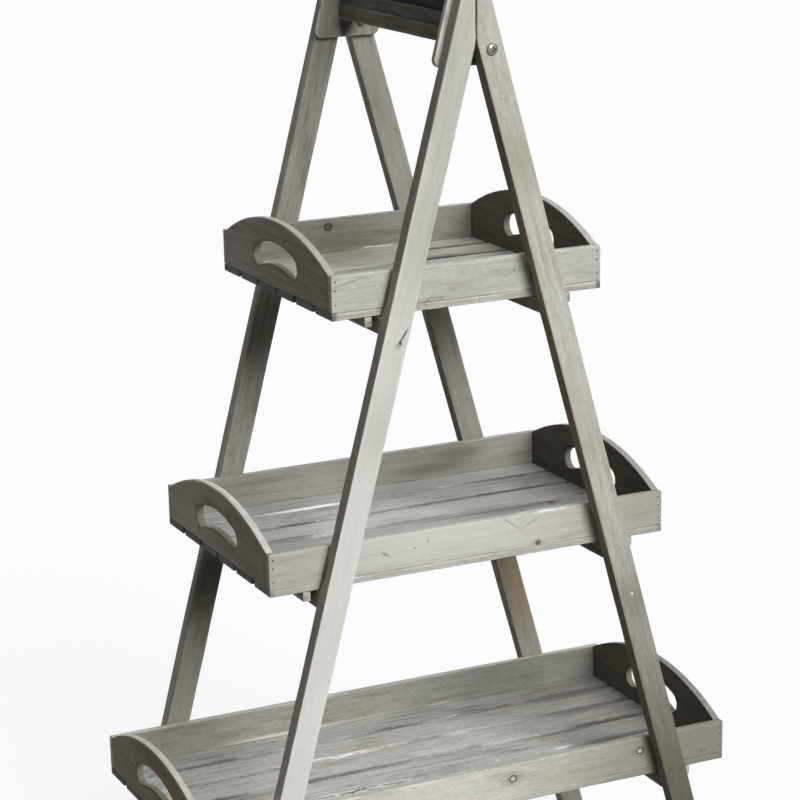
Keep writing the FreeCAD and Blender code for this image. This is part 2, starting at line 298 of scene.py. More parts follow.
def turned(radius: Array, height: Array, axes: list[Axis]) -> Surface:
    """Turned pieces: a radius and a height on a grid of rings and angles, carried to each axis.

    A point is the axis's start, plus its height along the axis, plus its radius times cosine of its angle along X
    and sine of it along the third direction.

    Args:
        radius: Distance from the axis, by ring and angle.
        height: Distance along the axis, by ring and angle.
        axes: Start and direction of each piece's axis, all square to X.

    Returns:
        All the pieces as one surface.
    """
    radius, height = np.broadcast_arrays(radius, height)
    angle = round_angles(radius.shape[1])
    first, second = radius * np.cos(angle), radius * np.sin(angle)
    grain = np.stack([height, first, second], axis=-1)
    pieces = []
    for start, direction in np.array(axes):
        third = np.cross(direction, X_AXIS)
        points = start + height[..., None] * direction + first[..., None] * X_AXIS + second[..., None] * third
        pieces.append(tube(points, grain, np.zeros(radius.shape)))
    return joined(pieces)


def eased_rings(half_across: Array, half_through: Array, arris: Array) -> tuple[Array, Array, Array]:
    """Rectangles with rounded corners, one for each station along a board.

    A corner is a quarter circle about a point one radius inside it. A side between two corners is a straight
    run with a point a little inside each end, where the wear of the arris fades out.

    Args:
        half_across: Half the wide side at each station.
        half_through: Half the narrow side at each station.
        arris: Radius of each of the four corners at each station.

    Returns:
        Places across and through the board at each station and ring point, and the wear of each ring point.
    """
    arc_steps, side_steps, fade, most_of_half, most_fade = 4, 4, 3.0 * MM, 0.48, 0.3
    limit = most_of_half * np.minimum(half_across, half_through)
    radius = np.minimum(arris, limit[:, None])
    arcs = []
    for corner, (across_sign, through_sign) in enumerate([(1, 1), (-1, 1), (-1, -1), (1, -1)]):
        angle = (corner + np.linspace(0.0, 1.0, arc_steps)) * math.pi / 2
        bend = radius[:, corner, None]
        across = across_sign * (half_across[:, None] - bend) + bend * np.cos(angle)
        through = through_sign * (half_through[:, None] - bend) + bend * np.sin(angle)
        arcs.append(np.stack([across, through], axis=-1))
    pieces, worn = [], []
    for arc, following in zip(arcs, arcs[1:] + arcs[:1]):
        start, end = arc[:, -1:], following[:, :1]
        length = np.linalg.norm(end - start, axis=-1, keepdims=True)
        margin = np.clip(fade / np.maximum(length, MM), 0.0, most_fade)
        share = margin + (1.0 - 2.0 * margin) * np.linspace(0.0, 1.0, side_steps)[None, :, None]
        pieces += [arc, start + (end - start) * share]
        worn += [np.ones(arc_steps), np.zeros(side_steps)]
    ring = np.concatenate(pieces, axis=1)
    return ring[..., 0], ring[..., 1], np.concatenate(worn)


@dataclass(frozen=True)
class Wear:
    """How the edges of a board have worn.

    Attributes:
        arris: Usual radius of the long edges.
        unevenness: Share of that radius by which it comes and goes.
        spacing: Distance over which it comes and goes.
        hollow: Most that the faces fall inside the sawn size.
        end: Radius of the ends' edges.
        step: Distance between stations along the board.
    """

    arris: float = 0.8 * MM
    unevenness: float = 0.55
    spacing: float = 22.0 * MM
    hollow: float = 0.25 * MM
    end: float = 0.8 * MM
    step: float = 9.0 * MM

    def stations(self, low: float, high: float) -> tuple[Array, Array]:
        """Places along a board, close together where its ends are rounded, and how far the section shrinks there.

        Args:
            low: Start of the board.
            high: End of the board.

        Returns:
            The places, and the inset of the section at each.
        """
        inwards, inset = quarter_round(self.end)
        count = max(int((high - low) / self.step), 2)
        middle = np.linspace(low + self.end, high - self.end, count + 1)[1:-1]
        places = np.concatenate([low + inwards, middle, high - inwards[::-1]])
        return places, np.concatenate([inset, np.zeros(len(middle)), inset[::-1]])

    def radii(self, rng: Rng, along: Array) -> Array:
        """Radius of the four long edges at each station, each with a slow random curve of its own."""
        curves = [drift(rng, along, self.spacing) for corner in range(4)]
        return self.arris * (1.0 + self.unevenness * np.stack(curves, axis=1))

    def shrinkage(self, rng: Rng, along: Array) -> Array:
        """How far a face lies inside the sawn size at each station, by a slow random curve."""
        return self.hollow * (0.5 + 0.5 * drift(rng, along, 4.0 * self.spacing))

    def rings(self, rng: Rng, along: Array, inset: Array, across: Array, through: Array) -> tuple[Array, ...]:
        """Section rings of a worn board: eased rectangles that shrink at the ends and waver along the board.

        Args:
            rng: Seeded source of the wear.
            along: Places of the stations.
            inset: Shrinkage of the section at each station.
            across: Half the sawn width, at each station or at all.
            through: Half the sawn thickness, at each station or at all.

        Returns:
            Places along, across and through at each station and ring point, and how worn each is.
        """
        half_across = across - inset - self.shrinkage(rng, along)
        half_through = through - inset - self.shrinkage(rng, along)
        ring_across, ring_through, ring_worn = eased_rings(half_across, half_through, self.radii(rng, along))
        end_worn = (inset > 0.2 * self.end).astype(float)
        lengthwise = np.broadcast_to(along[:, None], ring_across.shape)
        return lengthwise, ring_across, ring_through, np.maximum(ring_worn[None, :], end_worn[:, None])


@dataclass(frozen=True)
class Noise:
    """A noise that a finish is mixed by.

    Attributes:
        per_metre: Number of its waves to a metre on each axis.
        detail: Number of finer noises in it.
        roughness: How strong the finer ones are.
    """

    per_metre: Place
    detail: float
    roughness: float = 0.55


# Noises of the wood and its paint, then of steel and of the chalkboard.
STREAKS = Noise((14.0, 150.0, 150.0), 5.0, 0.62)
FIBRES = Noise((55.0, 760.0, 760.0), 3.0)
CLOUDS = Noise((9.0, 26.0, 26.0), 4.0)
WARMTH = Noise((3.0, 26.0, 26.0), 3.0)
SPONGING = Noise((170.0, 260.0, 260.0), 4.0, 0.7)
FLAKING = Noise((130.0, 260.0, 260.0), 3.0, 0.7)
STAINS = Noise((420.0, 420.0, 420.0), 4.0)
SCRATCHES = Noise((2600.0, 900.0, 2600.0), 2.0)
WIPING = Noise((30.0, 9.0, 40.0), 5.0, 0.6)
TOOTH = Noise((1900.0, 1900.0, 1900.0), 2.0)
BOARD_SHIFT = (31.0, 17.0, 23.0)
RING_STRETCH = (0.25, 1.0, 1.0)
RING_WAVES = {"Scale": 42.0, "Distortion": 3.0, "Detail": 2.0, "Detail Scale": 0.6}
PITS_PER_METRE = (150.0, 230.0, 230.0)
SPECKS_PER_METRE = (70.0, 110.0, 110.0)
SPOT_SPAN = (0.05, 0.11)
FLAKE_SPAN = (0.47, 0.56)
FACE_SPAN = (3.0 * MM, 4.0 * MM)
RAGGED = 0.5

# Colours of painted shade in the hand holes and on the slats' edges, and of pits and chips in the paint.
HOLE_SHADE = (112, 109, 99)
SLAT_EDGE_SHADE = (74, 70, 63)
PIT = (70, 66, 57)
CHIP = (232, 231, 224)


class Wiring:
    """Node tree of a material or a world, with short ways to add what the finishes use."""

    def __init__(self, owner: bpy.types.Material | bpy.types.World) -> None:
        """Start with an empty tree.

        Args:
            owner: The material or world.
        """
        owner.use_nodes = True
        self.tree = owner.node_tree
        self.tree.nodes.clear()

    def node(self, kind: str, inputs: Inputs | None = None, **settings: object) -> bpy.types.Node:
        """Add a node.

        Args:
            kind: Blender's name for its type, without the start that all share.
            inputs: Values or sockets by the name or number of the input.
            settings: Properties to set on it.

        Returns:
            The node.
        """
        made = self.tree.nodes.new(f"ShaderNode{kind}")
        for key, value in settings.items():
            setattr(made, key, value)
        for key, value in (inputs or {}).items():
            if isinstance(value, Socket):
                self.tree.links.new(value, made.inputs[key])
            else:
                made.inputs[key].default_value = value
        return made

    def out(self, kind: str, inputs: Inputs | None = None, output: int | str = 0, **settings: object) -> Socket:
        """One output of a new node."""
        return self.node(kind, inputs, **settings).outputs[output]

    def attribute(self, name: str, output: str = "Fac") -> Socket:
        """Value of a mesh attribute."""
        return self.out("Attribute", output=output, attribute_name=name)

    def math(self, operation: str, first: Socket, second: Socket | float = 0.0, clamp: bool = False) -> Socket:
        """Result of a sum on two values."""
        return self.out("Math", {0: first, 1: second}, operation=operation, use_clamp=clamp)

    def times(self, first: Socket, second: Socket | float) -> Socket:
        """Product of two values."""
        return self.math("MULTIPLY", first, second)

    def vector(self, operation: str, first: Socket, second: Socket | Place) -> Socket:
        """Result of a sum on two vectors."""
        return self.out("VectorMath", {0: first, 1: second}, operation=operation)

    def noise(self, place: Socket, noise: Noise) -> Socket:
        """Value of a noise at a place."""
        inputs = {"Vector": self.vector("MULTIPLY", place, noise.per_metre), "Scale": 1.0}
        return self.out("TexNoise", {**inputs, "Detail": noise.detail, "Roughness": noise.roughness}, "Fac")

    def span(self, value: Socket, low: float, high: float, to_low: float = 0.0, to_high: float = 1.0) -> Socket:
        """Value eased from one range to another, and held at its ends."""
        inputs = {"Value": value, "From Min": low, "From Max": high, "To Min": to_low, "To Max": to_high}
        return self.out("MapRange", inputs, interpolation_type="SMOOTHSTEP")

    def mix(self, share: Socket, first: Socket | Tone, second: Tone, blend: str = "MIX") -> Socket:
        """Colour between two others."""
        return self.out("Mix", {0: share, 6: first, 7: second}, 2, data_type="RGBA", blend_type=blend)

    def ramp(self, value: Socket, stops: list[tuple[float, Colour]]) -> Socket:
        """Colour by a value.

        Args:
            value: The value.
            stops: Places and colours: the first, the last and any between.

        Returns:
            The colour.
        """
        made = self.node("ValToRGB", {0: value})
        elements = made.color_ramp.elements
        for number, (place, colour) in enumerate(stops):
            element = elements[number] if number < 2 else elements.new(place)
            element.position, element.color = place, linear(colour)
        return made.outputs[0]

    def finish(self, inputs: Inputs, height: Socket, strength: float, distance: float) -> None:
        """Send the usual shader to the output, with a surface that a height raises.

        Args:
            inputs: Values or sockets of the shader.
            height: Height of the surface, from 0 to 1.
            strength: How much the height shows.
            distance: What a height of 1 stands for.
        """
        normal = self.out("Bump", {"Strength": strength, "Distance": distance, "Height": height})
        shader = self.out("BsdfPrincipled", {**inputs, "Normal": normal})
        self.node("OutputMaterial", {"Surface": shader})


class WoodWiring(Wiring):
    """Tree of a painted board, with the places and noises that its paint and marks are mixed by.

    Streaks, fibres and clouds are noises on the place in the wood, stretched along the grain. Growth rings are
    waves about the length of the trunk, drawn out and bent by noise.
    """

    def __init__(self, owner: bpy.types.Material) -> None:
        """Add the places and the noises.

        Args:
            owner: The material.
        """
        super().__init__(owner)
        self.grain = self.attribute("grain", "Vector")
        self.board, self.worn = self.attribute("board"), self.attribute("worn")
        self.across, self.through = self.node("SeparateXYZ", {0: self.grain}).outputs[1:3]
        shift = self.vector("MULTIPLY", self.out("CombineXYZ", {axis: self.board for axis in range(3)}), BOARD_SHIFT)
        self.place = self.vector("ADD", self.grain, shift)
        self.streaks, self.fibres, self.clouds = (self.noise(self.place, kind) for kind in (STREAKS, FIBRES, CLOUDS))
        inputs = {"Vector": self.vector("MULTIPLY", self.place, RING_STRETCH), **RING_WAVES}
        settings = {"wave_type": "RINGS", "rings_direction": "X", "wave_profile": "SAW"}
        self.rings = self.out("TexWave", inputs, "Fac", **settings)

    def tone(self) -> Socket:
        """Tone of the paint, a weighted sum of the noises and the board's number.

        Returns:
            The sum.
        """
        tone = self.times(self.streaks, 0.5)
        for part, weight in ((self.clouds, 0.3), (self.fibres, 0.12), (self.rings, 0.05), (self.board, 0.06)):
            tone = self.math("ADD", tone, self.times(part, weight))
        return tone

    def specks(self, per_metre: Place, empty: float) -> Socket:
        """Small spots at the hearts of random cells.

        Args:
            per_metre: Number of cells to a metre on each axis.
            empty: Chance, from 0 to 1, that a cell has no spot.

        Returns:
            1 in the spots, and 0 elsewhere.
        """
        scaled = self.vector("MULTIPLY", self.place, per_metre)
        cells = self.node("TexVoronoi", {"Vector": scaled, "Scale": 1.0}).outputs
        chosen = self.math("GREATER_THAN", self.out("SeparateColor", {0: cells["Color"]}), empty)
        return self.times(self.span(cells["Distance"], *SPOT_SPAN, 1.0, 0.0), chosen)


@dataclass(frozen=True)
class Mark:
    """One mark in the wood: an ellipse on the face of a board, in millimetres, seen on both faces or on one.

    Attributes:
        along: Place along the board.
        across: Place across the board, from its middle.
        length: Half the mark's length.
        width: Half the mark's width.
        colour: Colour of the mark.
        strength: How much of the colour shows.
        softness: Share of the ellipse over which its edge fades.
        turn: Angle of its length to the grain, in degrees.
        kind: A filled patch, a ring, flakes of a patch, or a shade that lets the grain show.
        face: Way through the board to the only face that shows it, or 0 for both.
    """

    along: float
    across: float
    length: float
    width: float
    colour: Colour = (52, 46, 38)
    strength: float = 0.75
    softness: float = 0.35
    turn: float = 0.0
    kind: MarkKind = MarkKind.PATCH
    face: int = 0

    def layer(self, wood: WoodWiring) -> Layer:
        """The mark as a layer on the paint.

        The distance from the mark's centre, measured in half lengths and half widths, is 1 on the ellipse. A patch
        fills it, and a ring keeps near it. The fibres roughen the outline, and also break a patch into flakes.

        Args:
            wood: Tree of the finish.

        Returns:
            How much of the mark shows, its colour, and how it is mixed in.
        """
        centred = wood.vector("SUBTRACT", wood.grain, (self.along * MM, self.across * MM, 0.0))
        angle = {"Vector": centred, "Angle": math.radians(-self.turn)}
        straight = wood.out("VectorRotate", angle, rotation_type="Z_AXIS")
        scaled = wood.vector("MULTIPLY", straight, (1.0 / (self.length * MM), 1.0 / (self.width * MM), 0.0))
        distance = wood.out("VectorMath", {0: scaled}, "Value", operation="LENGTH")
        rough = wood.math("ADD", distance, wood.times(wood.math("SUBTRACT", wood.fibres, 0.5), RAGGED))
        inner, outer = 1.0 - self.softness, 1.0 + self.softness
        if self.kind is MarkKind.RING:
            rough = wood.math("ABSOLUTE", wood.math("SUBTRACT", rough, 1.0))
            inner, outer = 0.0, self.softness
        share = wood.span(rough, inner, outer, self.strength, 0.0)
        if self.kind is MarkKind.FLAKES:
            share = wood.times(share, wood.span(wood.fibres, *FLAKE_SPAN))
        if self.face:
            share = wood.times(share, wood.span(wood.times(wood.through, float(self.face)), *FACE_SPAN))
        return share, linear(self.colour), "MULTIPLY" if self.kind is MarkKind.SHADE else "MIX"


def knot(along: float, across: float, radius: float, heart: Colour = (80, 73, 57)) -> tuple[Mark, ...]:
    """A round knot: a heart in a dark ring, with a faint halo drawn out along the grain.

    Args:
        along: Place along the board.
        across: Place across the board, from its middle.
        radius: Radius of the ring.
        heart: Colour inside the ring.

    Returns:
        The marks, from the lowest to the uppermost.
    """
    return (
        Mark(along, across, 2.6 * radius, 1.6 * radius, (112, 106, 88), 0.45, 0.8),
        Mark(along, across, radius, 0.9 * radius, heart, 0.65, 0.3),
        Mark(along, across, radius, 0.9 * radius, (40, 36, 28), 0.9, 0.42, kind=MarkKind.RING),
    )


def smudge(along: float, across: float, length: float, width: float) -> Mark:
    """A soft dark patch."""
    return Mark(along, across, length, width, (96, 92, 86), 0.6, 0.8)


def gap_dirt(along: float, length: float, strength: float) -> Mark:
    """Painted shade on a slat's front edge, in the gap to the next slat."""
    return Mark(along, -23.6, length, 1.6, (50, 47, 41), strength, 0.8)


def flakes(along: float, across: float, length: float) -> Mark:
    """A line of white flakes along an edge."""
    return Mark(along, across, length, 1.8, (236, 236, 232), 0.95, 0.6, kind=MarkKind.FLAKES)


def shade(along: float, length: float, width: float, colour: Colour, softness: float = 0.8, face: int = 0) -> Mark:
    """A shade all the way across a board, which lets the grain show."""
    return Mark(along, 0, length, width, colour, 1.0, softness, kind=MarkKind.SHADE, face=face)


def leg_side(along: float, length: float, colour: Colour, strength: float, softness: float, face: int = 0) -> Mark:
    """A darker band along the left side of a leg."""
    return Mark(along, -17.2, length, 2.6, colour, strength, softness, face=face)


@dataclass(frozen=True)
class Inside:
    """The part of a board that looks into the stand, darkened by painted shade.

    Attributes:
        sign: Way through the board that looks inside.
        from_middle: Distance through the board, from its middle, at which the painted shade starts.
        share: Share of the light that the shaded part gives back.
        cast: Colour that the painted shade leans to, as shares of red, green and blue.
    """

    sign: int
    from_middle: float
    share: float
    cast: Place = (1.0, 0.99, 0.95)

    def layer(self, wood: WoodWiring) -> Layer:
        """The painted shade as a layer that darkens the paint, with a fade of one millimetre."""
        share = wood.span(wood.times(wood.through, float(self.sign)), self.from_middle, self.from_middle + MM)
        return share, (*(self.share * part for part in self.cast), 1.0), "MULTIPLY"


@dataclass(frozen=True)
class Finish:
    """What a piece looks like.

    Attributes:
        name: Name of the material.
    """

    name: str

    def material(self) -> bpy.types.Material:
        """The material, which is made the first time.

        Returns:
            The material.
        """
        found = bpy.data.materials.get(self.name)
        if not found:
            found = bpy.data.materials.new(self.name)
            self.wire(found)
        return found

    def wire(self, material: bpy.types.Material) -> None:
        """Fill a new material's tree, which each finish does in its own way."""
        raise NotImplementedError


@dataclass(frozen=True)
class GreyWash(Finish):
    """Thin grey paint over softwood, worn along the grain and at the edges.

    Attributes:
        pale: Colour where the paint is thick.
        middle: Usual colour.
        dark: Colour of bare, weathered streaks.
        tint: Warm colour of the wood that shows through.
        tint_share: How much of the tint shows where it is strongest.
        edge: Colour of worn edges.
        edge_share: How much of the edge colour shows.
        edge_least: Least part of that share, where the paint still holds.
        chip_share: How much the white chips along the edges show.
        speck_share: How much the white specks show.
        pit_share: How much the dark pits show.
        mottle: How much the sponged unevenness shows.
        dirt_from: Distance across the board from its middle beyond which its edges take painted shade, as in the gaps
            between slats, or 0 for none.
        inside: The part of a board that looks inside and takes painted shade, if any.
        marks: Knots, stains and streaks of one board.
    """

    pale: Colour = (199, 198, 191)
    middle: Colour = (187, 186, 177)
    dark: Colour = (160, 157, 146)
    tint: Colour = (168, 160, 132)
    tint_share: float = 0.3
    edge: Colour = (214, 213, 206)
    edge_share: float = 0.7
    edge_least: float = 0.1
    chip_share: float = 0.25
    speck_share: float = 0.7
    pit_share: float = 0.4
    mottle: float = 0.25
    dirt_from: float = 0.0
    inside: Inside | None = None
    marks: tuple[Mark, ...] = ()

    def version(self, suffix: str, **changes: object) -> GreyWash:
        """The same finish with some changes, under a longer name."""
        return replace(self, name=f"{self.name}_{suffix}", **changes)

    def shaded(self, suffix: str, share: float) -> GreyWash:
        """The same finish lighter or darker all over, under a longer name."""
        parts = ("pale", "middle", "dark", "tint", "edge")
        return self.version(suffix, **{part: toned(getattr(self, part), share) for part in parts})

    def wire(self, material: bpy.types.Material) -> None:
        """Lay the paint, its wear and painted shade, and the board's marks on wood with raised fibres and rings.

        Args:
            material: The new material.
        """
        wood = WoodWiring(material)
        colour = wood.ramp(wood.tone(), [(0.36, self.dark), (0.62, self.pale), (0.49, self.middle)])
        layers = (*self.paint(wood), *self.soil(wood), *self.flecks(wood), *(mark.layer(wood) for mark in self.marks))
        for share, layer, blend in layers:
            colour = wood.mix(share, colour, layer, blend)
        roughness = wood.span(wood.streaks, 0.3, 0.7, 0.88, 0.7)
        raised = wood.math("ADD", wood.times(wood.fibres, 0.6), wood.times(wood.rings, 0.4))
        inputs = {"Base Color": colour, "Roughness": roughness, "Specular IOR Level": 0.2}
        wood.finish(inputs, raised, 0.32, 0.5 * MM)

    def paint(self, wood: WoodWiring) -> list[Layer]:
        """The paint's own layers: warm wood that shows through, open pores, and a sponged unevenness.

        Args:
            wood: Tree of the finish.

        Returns:
            The layers, from the lowest to the uppermost.
        """
        warmth, sponging = (wood.noise(wood.place, kind) for kind in (WARMTH, SPONGING))
        return [
            (wood.span(warmth, 0.48, 0.72, 0.0, self.tint_share), linear(self.tint), "MIX"),
            (wood.span(wood.fibres, 0.28, 0.45, 0.24, 0.0), linear(self.dark), "MULTIPLY"),
            (wood.span(sponging, 0.3, 0.5, self.mottle, 0.0), linear(toned(self.dark, 0.8)), "MIX"),
            (wood.span(sponging, 0.5, 0.72, 0.0, self.mottle), linear(toned(self.pale, 1.15)), "MIX"),
        ]

    def soil(self, wood: WoodWiring) -> list[Layer]:
        """Painted shade in the hand holes, edges rubbed bare, and painted shade on the slats' edges and on the part
        that looks inside.

        Args:
            wood: Tree of the finish.

        Returns:
            The layers, from the lowest to the uppermost.
        """
        bare = wood.span(wood.streaks, 0.38, 0.6, self.edge_least, 1.0)
        rubbed = wood.times(wood.times(wood.math("MAXIMUM", wood.worn, 0.0), bare), self.edge_share)
        # Painted shade round the hand holes, where worn is -1.
        hole_shading = wood.span(wood.worn, -1.0, 0.0, 0.75, 0.0)
        layers = [(hole_shading, linear(HOLE_SHADE), "MIX"), (rubbed, linear(self.edge), "MIX")]
        # Painted shade on the long edges of the slats, made patchy by the clouds.
        if self.dirt_from:
            beyond = wood.span(wood.math("ABSOLUTE", wood.across), self.dirt_from, self.dirt_from + 0.8 * MM)
            edge_shading = wood.times(beyond, wood.span(wood.clouds, 0.36, 0.58, 0.75, 0.15))
            layers.append((edge_shading, linear(SLAT_EDGE_SHADE), "MIX"))
        if self.inside:
            layers.append(self.inside.layer(wood))
        return layers

    def flecks(self, wood: WoodWiring) -> list[Layer]:
        """Dark pits, and white specks and chips where the paint has flaked along the edges.

        Args:
            wood: Tree of the finish.

        Returns:
            The layers, from the lowest to the uppermost.
        """
        pits = wood.times(wood.specks(PITS_PER_METRE, 0.86), self.pit_share)
        specks = wood.times(wood.specks(SPECKS_PER_METRE, 0.94), self.speck_share)
        flaked = wood.span(wood.noise(wood.place, FLAKING), 0.6, 0.66, 0.0, self.chip_share)
        white = wood.math("MAXIMUM", specks, wood.math("MULTIPLY", flaked, wood.worn, clamp=True))
        return [(pits, linear(PIT), "MIX"), (white, linear(CHIP), "MIX")]


@dataclass(frozen=True)
class Steel(Finish):
    """Bare or dulled steel.

    Attributes:
        bright: Colour where it is unstained.
        dull: Colour where it is stained.
        roughness: Usual roughness.
    """

    bright: Colour
    dull: Colour
    roughness: float = 0.32

    def wire(self, material: bpy.types.Material) -> None:
        """Stain and scratch the steel by noises on its place.

        Args:
            material: The new material.
        """
        wiring = Wiring(material)
        place = wiring.out("TexCoord", output="Object")
        stains, scratches = (wiring.noise(place, kind) for kind in (STAINS, SCRATCHES))
        inputs = {
            "Base Color": wiring.ramp(stains, [(0.35, self.dull), (0.6, self.bright)]),
            "Metallic": 1.0,
            "Roughness": wiring.span(stains, 0.3, 0.7, self.roughness + 0.14, self.roughness),
        }
        wiring.finish(inputs, scratches, 0.12, 0.1 * MM)


@dataclass(frozen=True)
class Chalkboard(Finish):
    """Black board paint with a film of old chalk dust.

    Attributes:
        paint: Colour of the paint.
        dust: Colour of the dust.
    """

    paint: Colour = (26, 24, 28)
    dust: Colour = (62, 60, 63)

    def wire(self, material: bpy.types.Material) -> None:
        """Wipe the dust into faint streaks, by noises on its place.

        Args:
            material: The new material.
        """
        wiring = Wiring(material)
        place = wiring.out("TexCoord", output="Object")
        wiped, tooth = (wiring.noise(place, kind) for kind in (WIPING, TOOTH))
        inputs = {
            "Base Color": wiring.mix(wiring.span(wiped, 0.45, 0.75, 0.0, 0.3), linear(self.paint), linear(self.dust)),
            "Roughness": wiring.span(wiped, 0.3, 0.7, 0.62, 0.85),
            "Specular IOR Level": 0.1,
        }
        wiring.finish(inputs, tooth, 0.2, 0.1 * MM)


# Marks of the boards by tray and piece, and then of the legs and gussets.
FLOOR_GLOW = Mark(0, 0, 170, 60, (216, 210, 196), 0.3, 0.5)
LEFT_END_SHADE = Mark(-100, -5, 105, 80, (218, 213, 202), 0.95, 0.8, kind=MarkKind.SHADE, face=-1)
LEFT_END_CORNER = Mark(-153, -10, 9, 45, (92, 88, 80), 0.5, 0.8, face=-1)
TOP_MARKS = {
    "left_end": (LEFT_END_SHADE, LEFT_END_CORNER),
    "front_rail": (
        Mark(-149, 11.9, 18, 0.9, (118, 113, 100), 0.5, 0.6, 12),
        Mark(-43.3, -18.6, 9, 2.6, (112, 101, 82), 0.5, 0.4, kind=MarkKind.RING),
        Mark(57.2, 3.9, 1, 1),
    ),
    # On slat 5 the shade near the right end is painted shade.
    "slat_5": (FLOOR_GLOW, shade(110, 70, 60, (240, 237, 230)), smudge(81, -17, 40, 5), gap_dirt(95, 75, 0.9)),
    "slat_6": (FLOOR_GLOW, gap_dirt(105, 60, 0.8)),
    "back_rail": (
        flakes(40, -19.6, 34),
        Mark(-20, -11, 80, 11, (100, 91, 68), 0.4, 0.8),
        *knot(-35.5, 11, 4.6),
    ),
}
# Painted shade: the middle tray's front rail and front slat darken towards both ends, where the light falls off.
MIDDLE_SIDE_END_SHADES = (
    Mark(270, 0, 90, 60, (152, 149, 139), 0.6, 0.7),
    Mark(-240, 0, 60, 60, (160, 157, 147), 0.55, 0.7),
)
MIDDLE_MARKS = {
    "left_end": (
        Mark(110, 0, 55, 50, (204, 192, 166), 0.4, 0.8, face=-1),
        LEFT_END_SHADE,
        LEFT_END_CORNER,
        *(
            Mark(along, across, 14, 5, (84, 78, 66), 0.55, 0.9, turn, face=-1)
            for along, across, turn in ((-2, 30, 30), (-44, 24, 60), (24, 34, 0), (60, 6, 70))
        ),
    ),
    "front_rail": (
        *MIDDLE_SIDE_END_SHADES,
        Mark(-20, 6, 130, 30, (208, 208, 202), 0.6, 0.8),
        *knot(86.8, -17.5, 2.6),
        Mark(52, 11, 15, 0.45, strength=0.6, turn=-36),
        Mark(76, 8, 15, 0.4, strength=0.55, turn=24),
        Mark(-57, 7, 2.6, 0.7, strength=0.65, turn=70),
        Mark(-74, 1.3, 1.6, 1, strength=0.5),
        Mark(-111, -1, 5, 1.6, (104, 100, 90), 0.6, 0.6, -30),
        flakes(92, 19.8, 30),
    ),
    "slat_1": MIDDLE_SIDE_END_SHADES,
    # Near the right end board, the wide patches on slats 3 to 5 are painted shade.
    "slat_3": (
        Mark(0, 0, 240, 60, (146, 145, 140), 0.4, 0.6),
        smudge(151, 14, 50, 8),
        smudge(60, 15, 50, 3),
        smudge(210, 0, 36, 26),
        *knot(183.8, 12.6, 4),
    ),
    "slat_4": (
        Mark(-20, 0, 210, 40, (216, 216, 212), 0.35, 0.5),
        Mark(-127, -21, 2.6, 2, (240, 240, 237), 0.9, 0.4),
        flakes(2, 22.6, 24),
        smudge(-167, -20, 40, 5),
        smudge(215, 0, 50, 40),
        gap_dirt(50, 90, 0.35),
    ),
    "slat_5": (flakes(30, 22.6, 50), smudge(225, 0, 50, 40), gap_dirt(165, 100, 0.6)),
    "slat_6": (Mark(-92, -22.6, 50, 1.4, (238, 238, 235), 0.85, 0.5), gap_dirt(195, 75, 0.7)),
    "back_rail": (smudge(98, -8, 45, 7), smudge(141, 6, 30, 8)),
}
# Painted shade: the bottom tray's front rail and front slat darken towards the right end, where the light falls off.
BOTTOM_SIDE_RIGHT_SHADE = Mark(370, 0, 230, 110, (122, 120, 110), 0.9, 0.75)
# Painted shade on the bottom tray's slats near the right end.
BOTTOM_FLOOR = (Mark(350, 0, 110, 70, (112, 111, 107), 0.5, 0.8), shade(300, 130, 70, (240, 238, 233)))
PALE_HEART = (196, 194, 186)
BOTTOM_MARKS = {
    "left_end": (
        shade(0, 220, 120, (228, 219, 206), 0.3, -1),
        Mark(20, 40, 70, 22, (96, 84, 70), 0.5, 0.9, face=-1),
        LEFT_END_SHADE,
    ),
    "front_rail": (
        BOTTOM_SIDE_RIGHT_SHADE,
        *knot(228.4, 3.5, 4.2, PALE_HEART),
        *knot(51.5, 2, 4.4, PALE_HEART),
        Mark(317, -13, 1.2, 2.2, strength=0.5),
        Mark(322, -13, 1.2, 2.2, strength=0.5),
    ),
    "slat_1": (Mark(-100, 0, 330, 60, (206, 205, 197), 0.55, 0.6), BOTTOM_SIDE_RIGHT_SHADE),
    # Near the right end, the thin patches beside the rear edges of slats 2 to 5 are painted shade by the gaps.
    "slat_2": (Mark(-20, 0, 300, 40, (222, 221, 216), 0.45, 0.5), smudge(258, 17, 30, 5), smudge(229, 22, 22, 4)),
    "slat_3": (
        *BOTTOM_FLOOR,
        flakes(-95, -22.4, 75),
        flakes(180, -22.4, 14),
        smudge(225, 21, 60, 4),
        gap_dirt(280, 50, 0.6),
    ),
    "slat_4": (*BOTTOM_FLOOR, flakes(60, 22.4, 40), smudge(265, 18, 40, 6), gap_dirt(285, 50, 0.5)),
    "slat_5": (*BOTTOM_FLOOR, flakes(-70, -22.4, 66), smudge(270, 18, 45, 6), gap_dirt(285, 70, 0.6)),
    "slat_6": (*BOTTOM_FLOOR, gap_dirt(285, 75, 0.6)),
    "back_rail": (
        shade(230, 160, 60, (229, 232, 234), 0.6, -1),
        # The pale lines low on the back rail's inside are painted highlights.
        Mark(-120, -18.6, 62, 2.4, (218, 214, 194), 0.6, 0.8),
        Mark(-30, -18.8, 80, 2, (196, 192, 170), 0.3, 0.8),
        Mark(106, -18.6, 18, 1.3, (206, 201, 180), 0.45, 0.8),
    ),
}
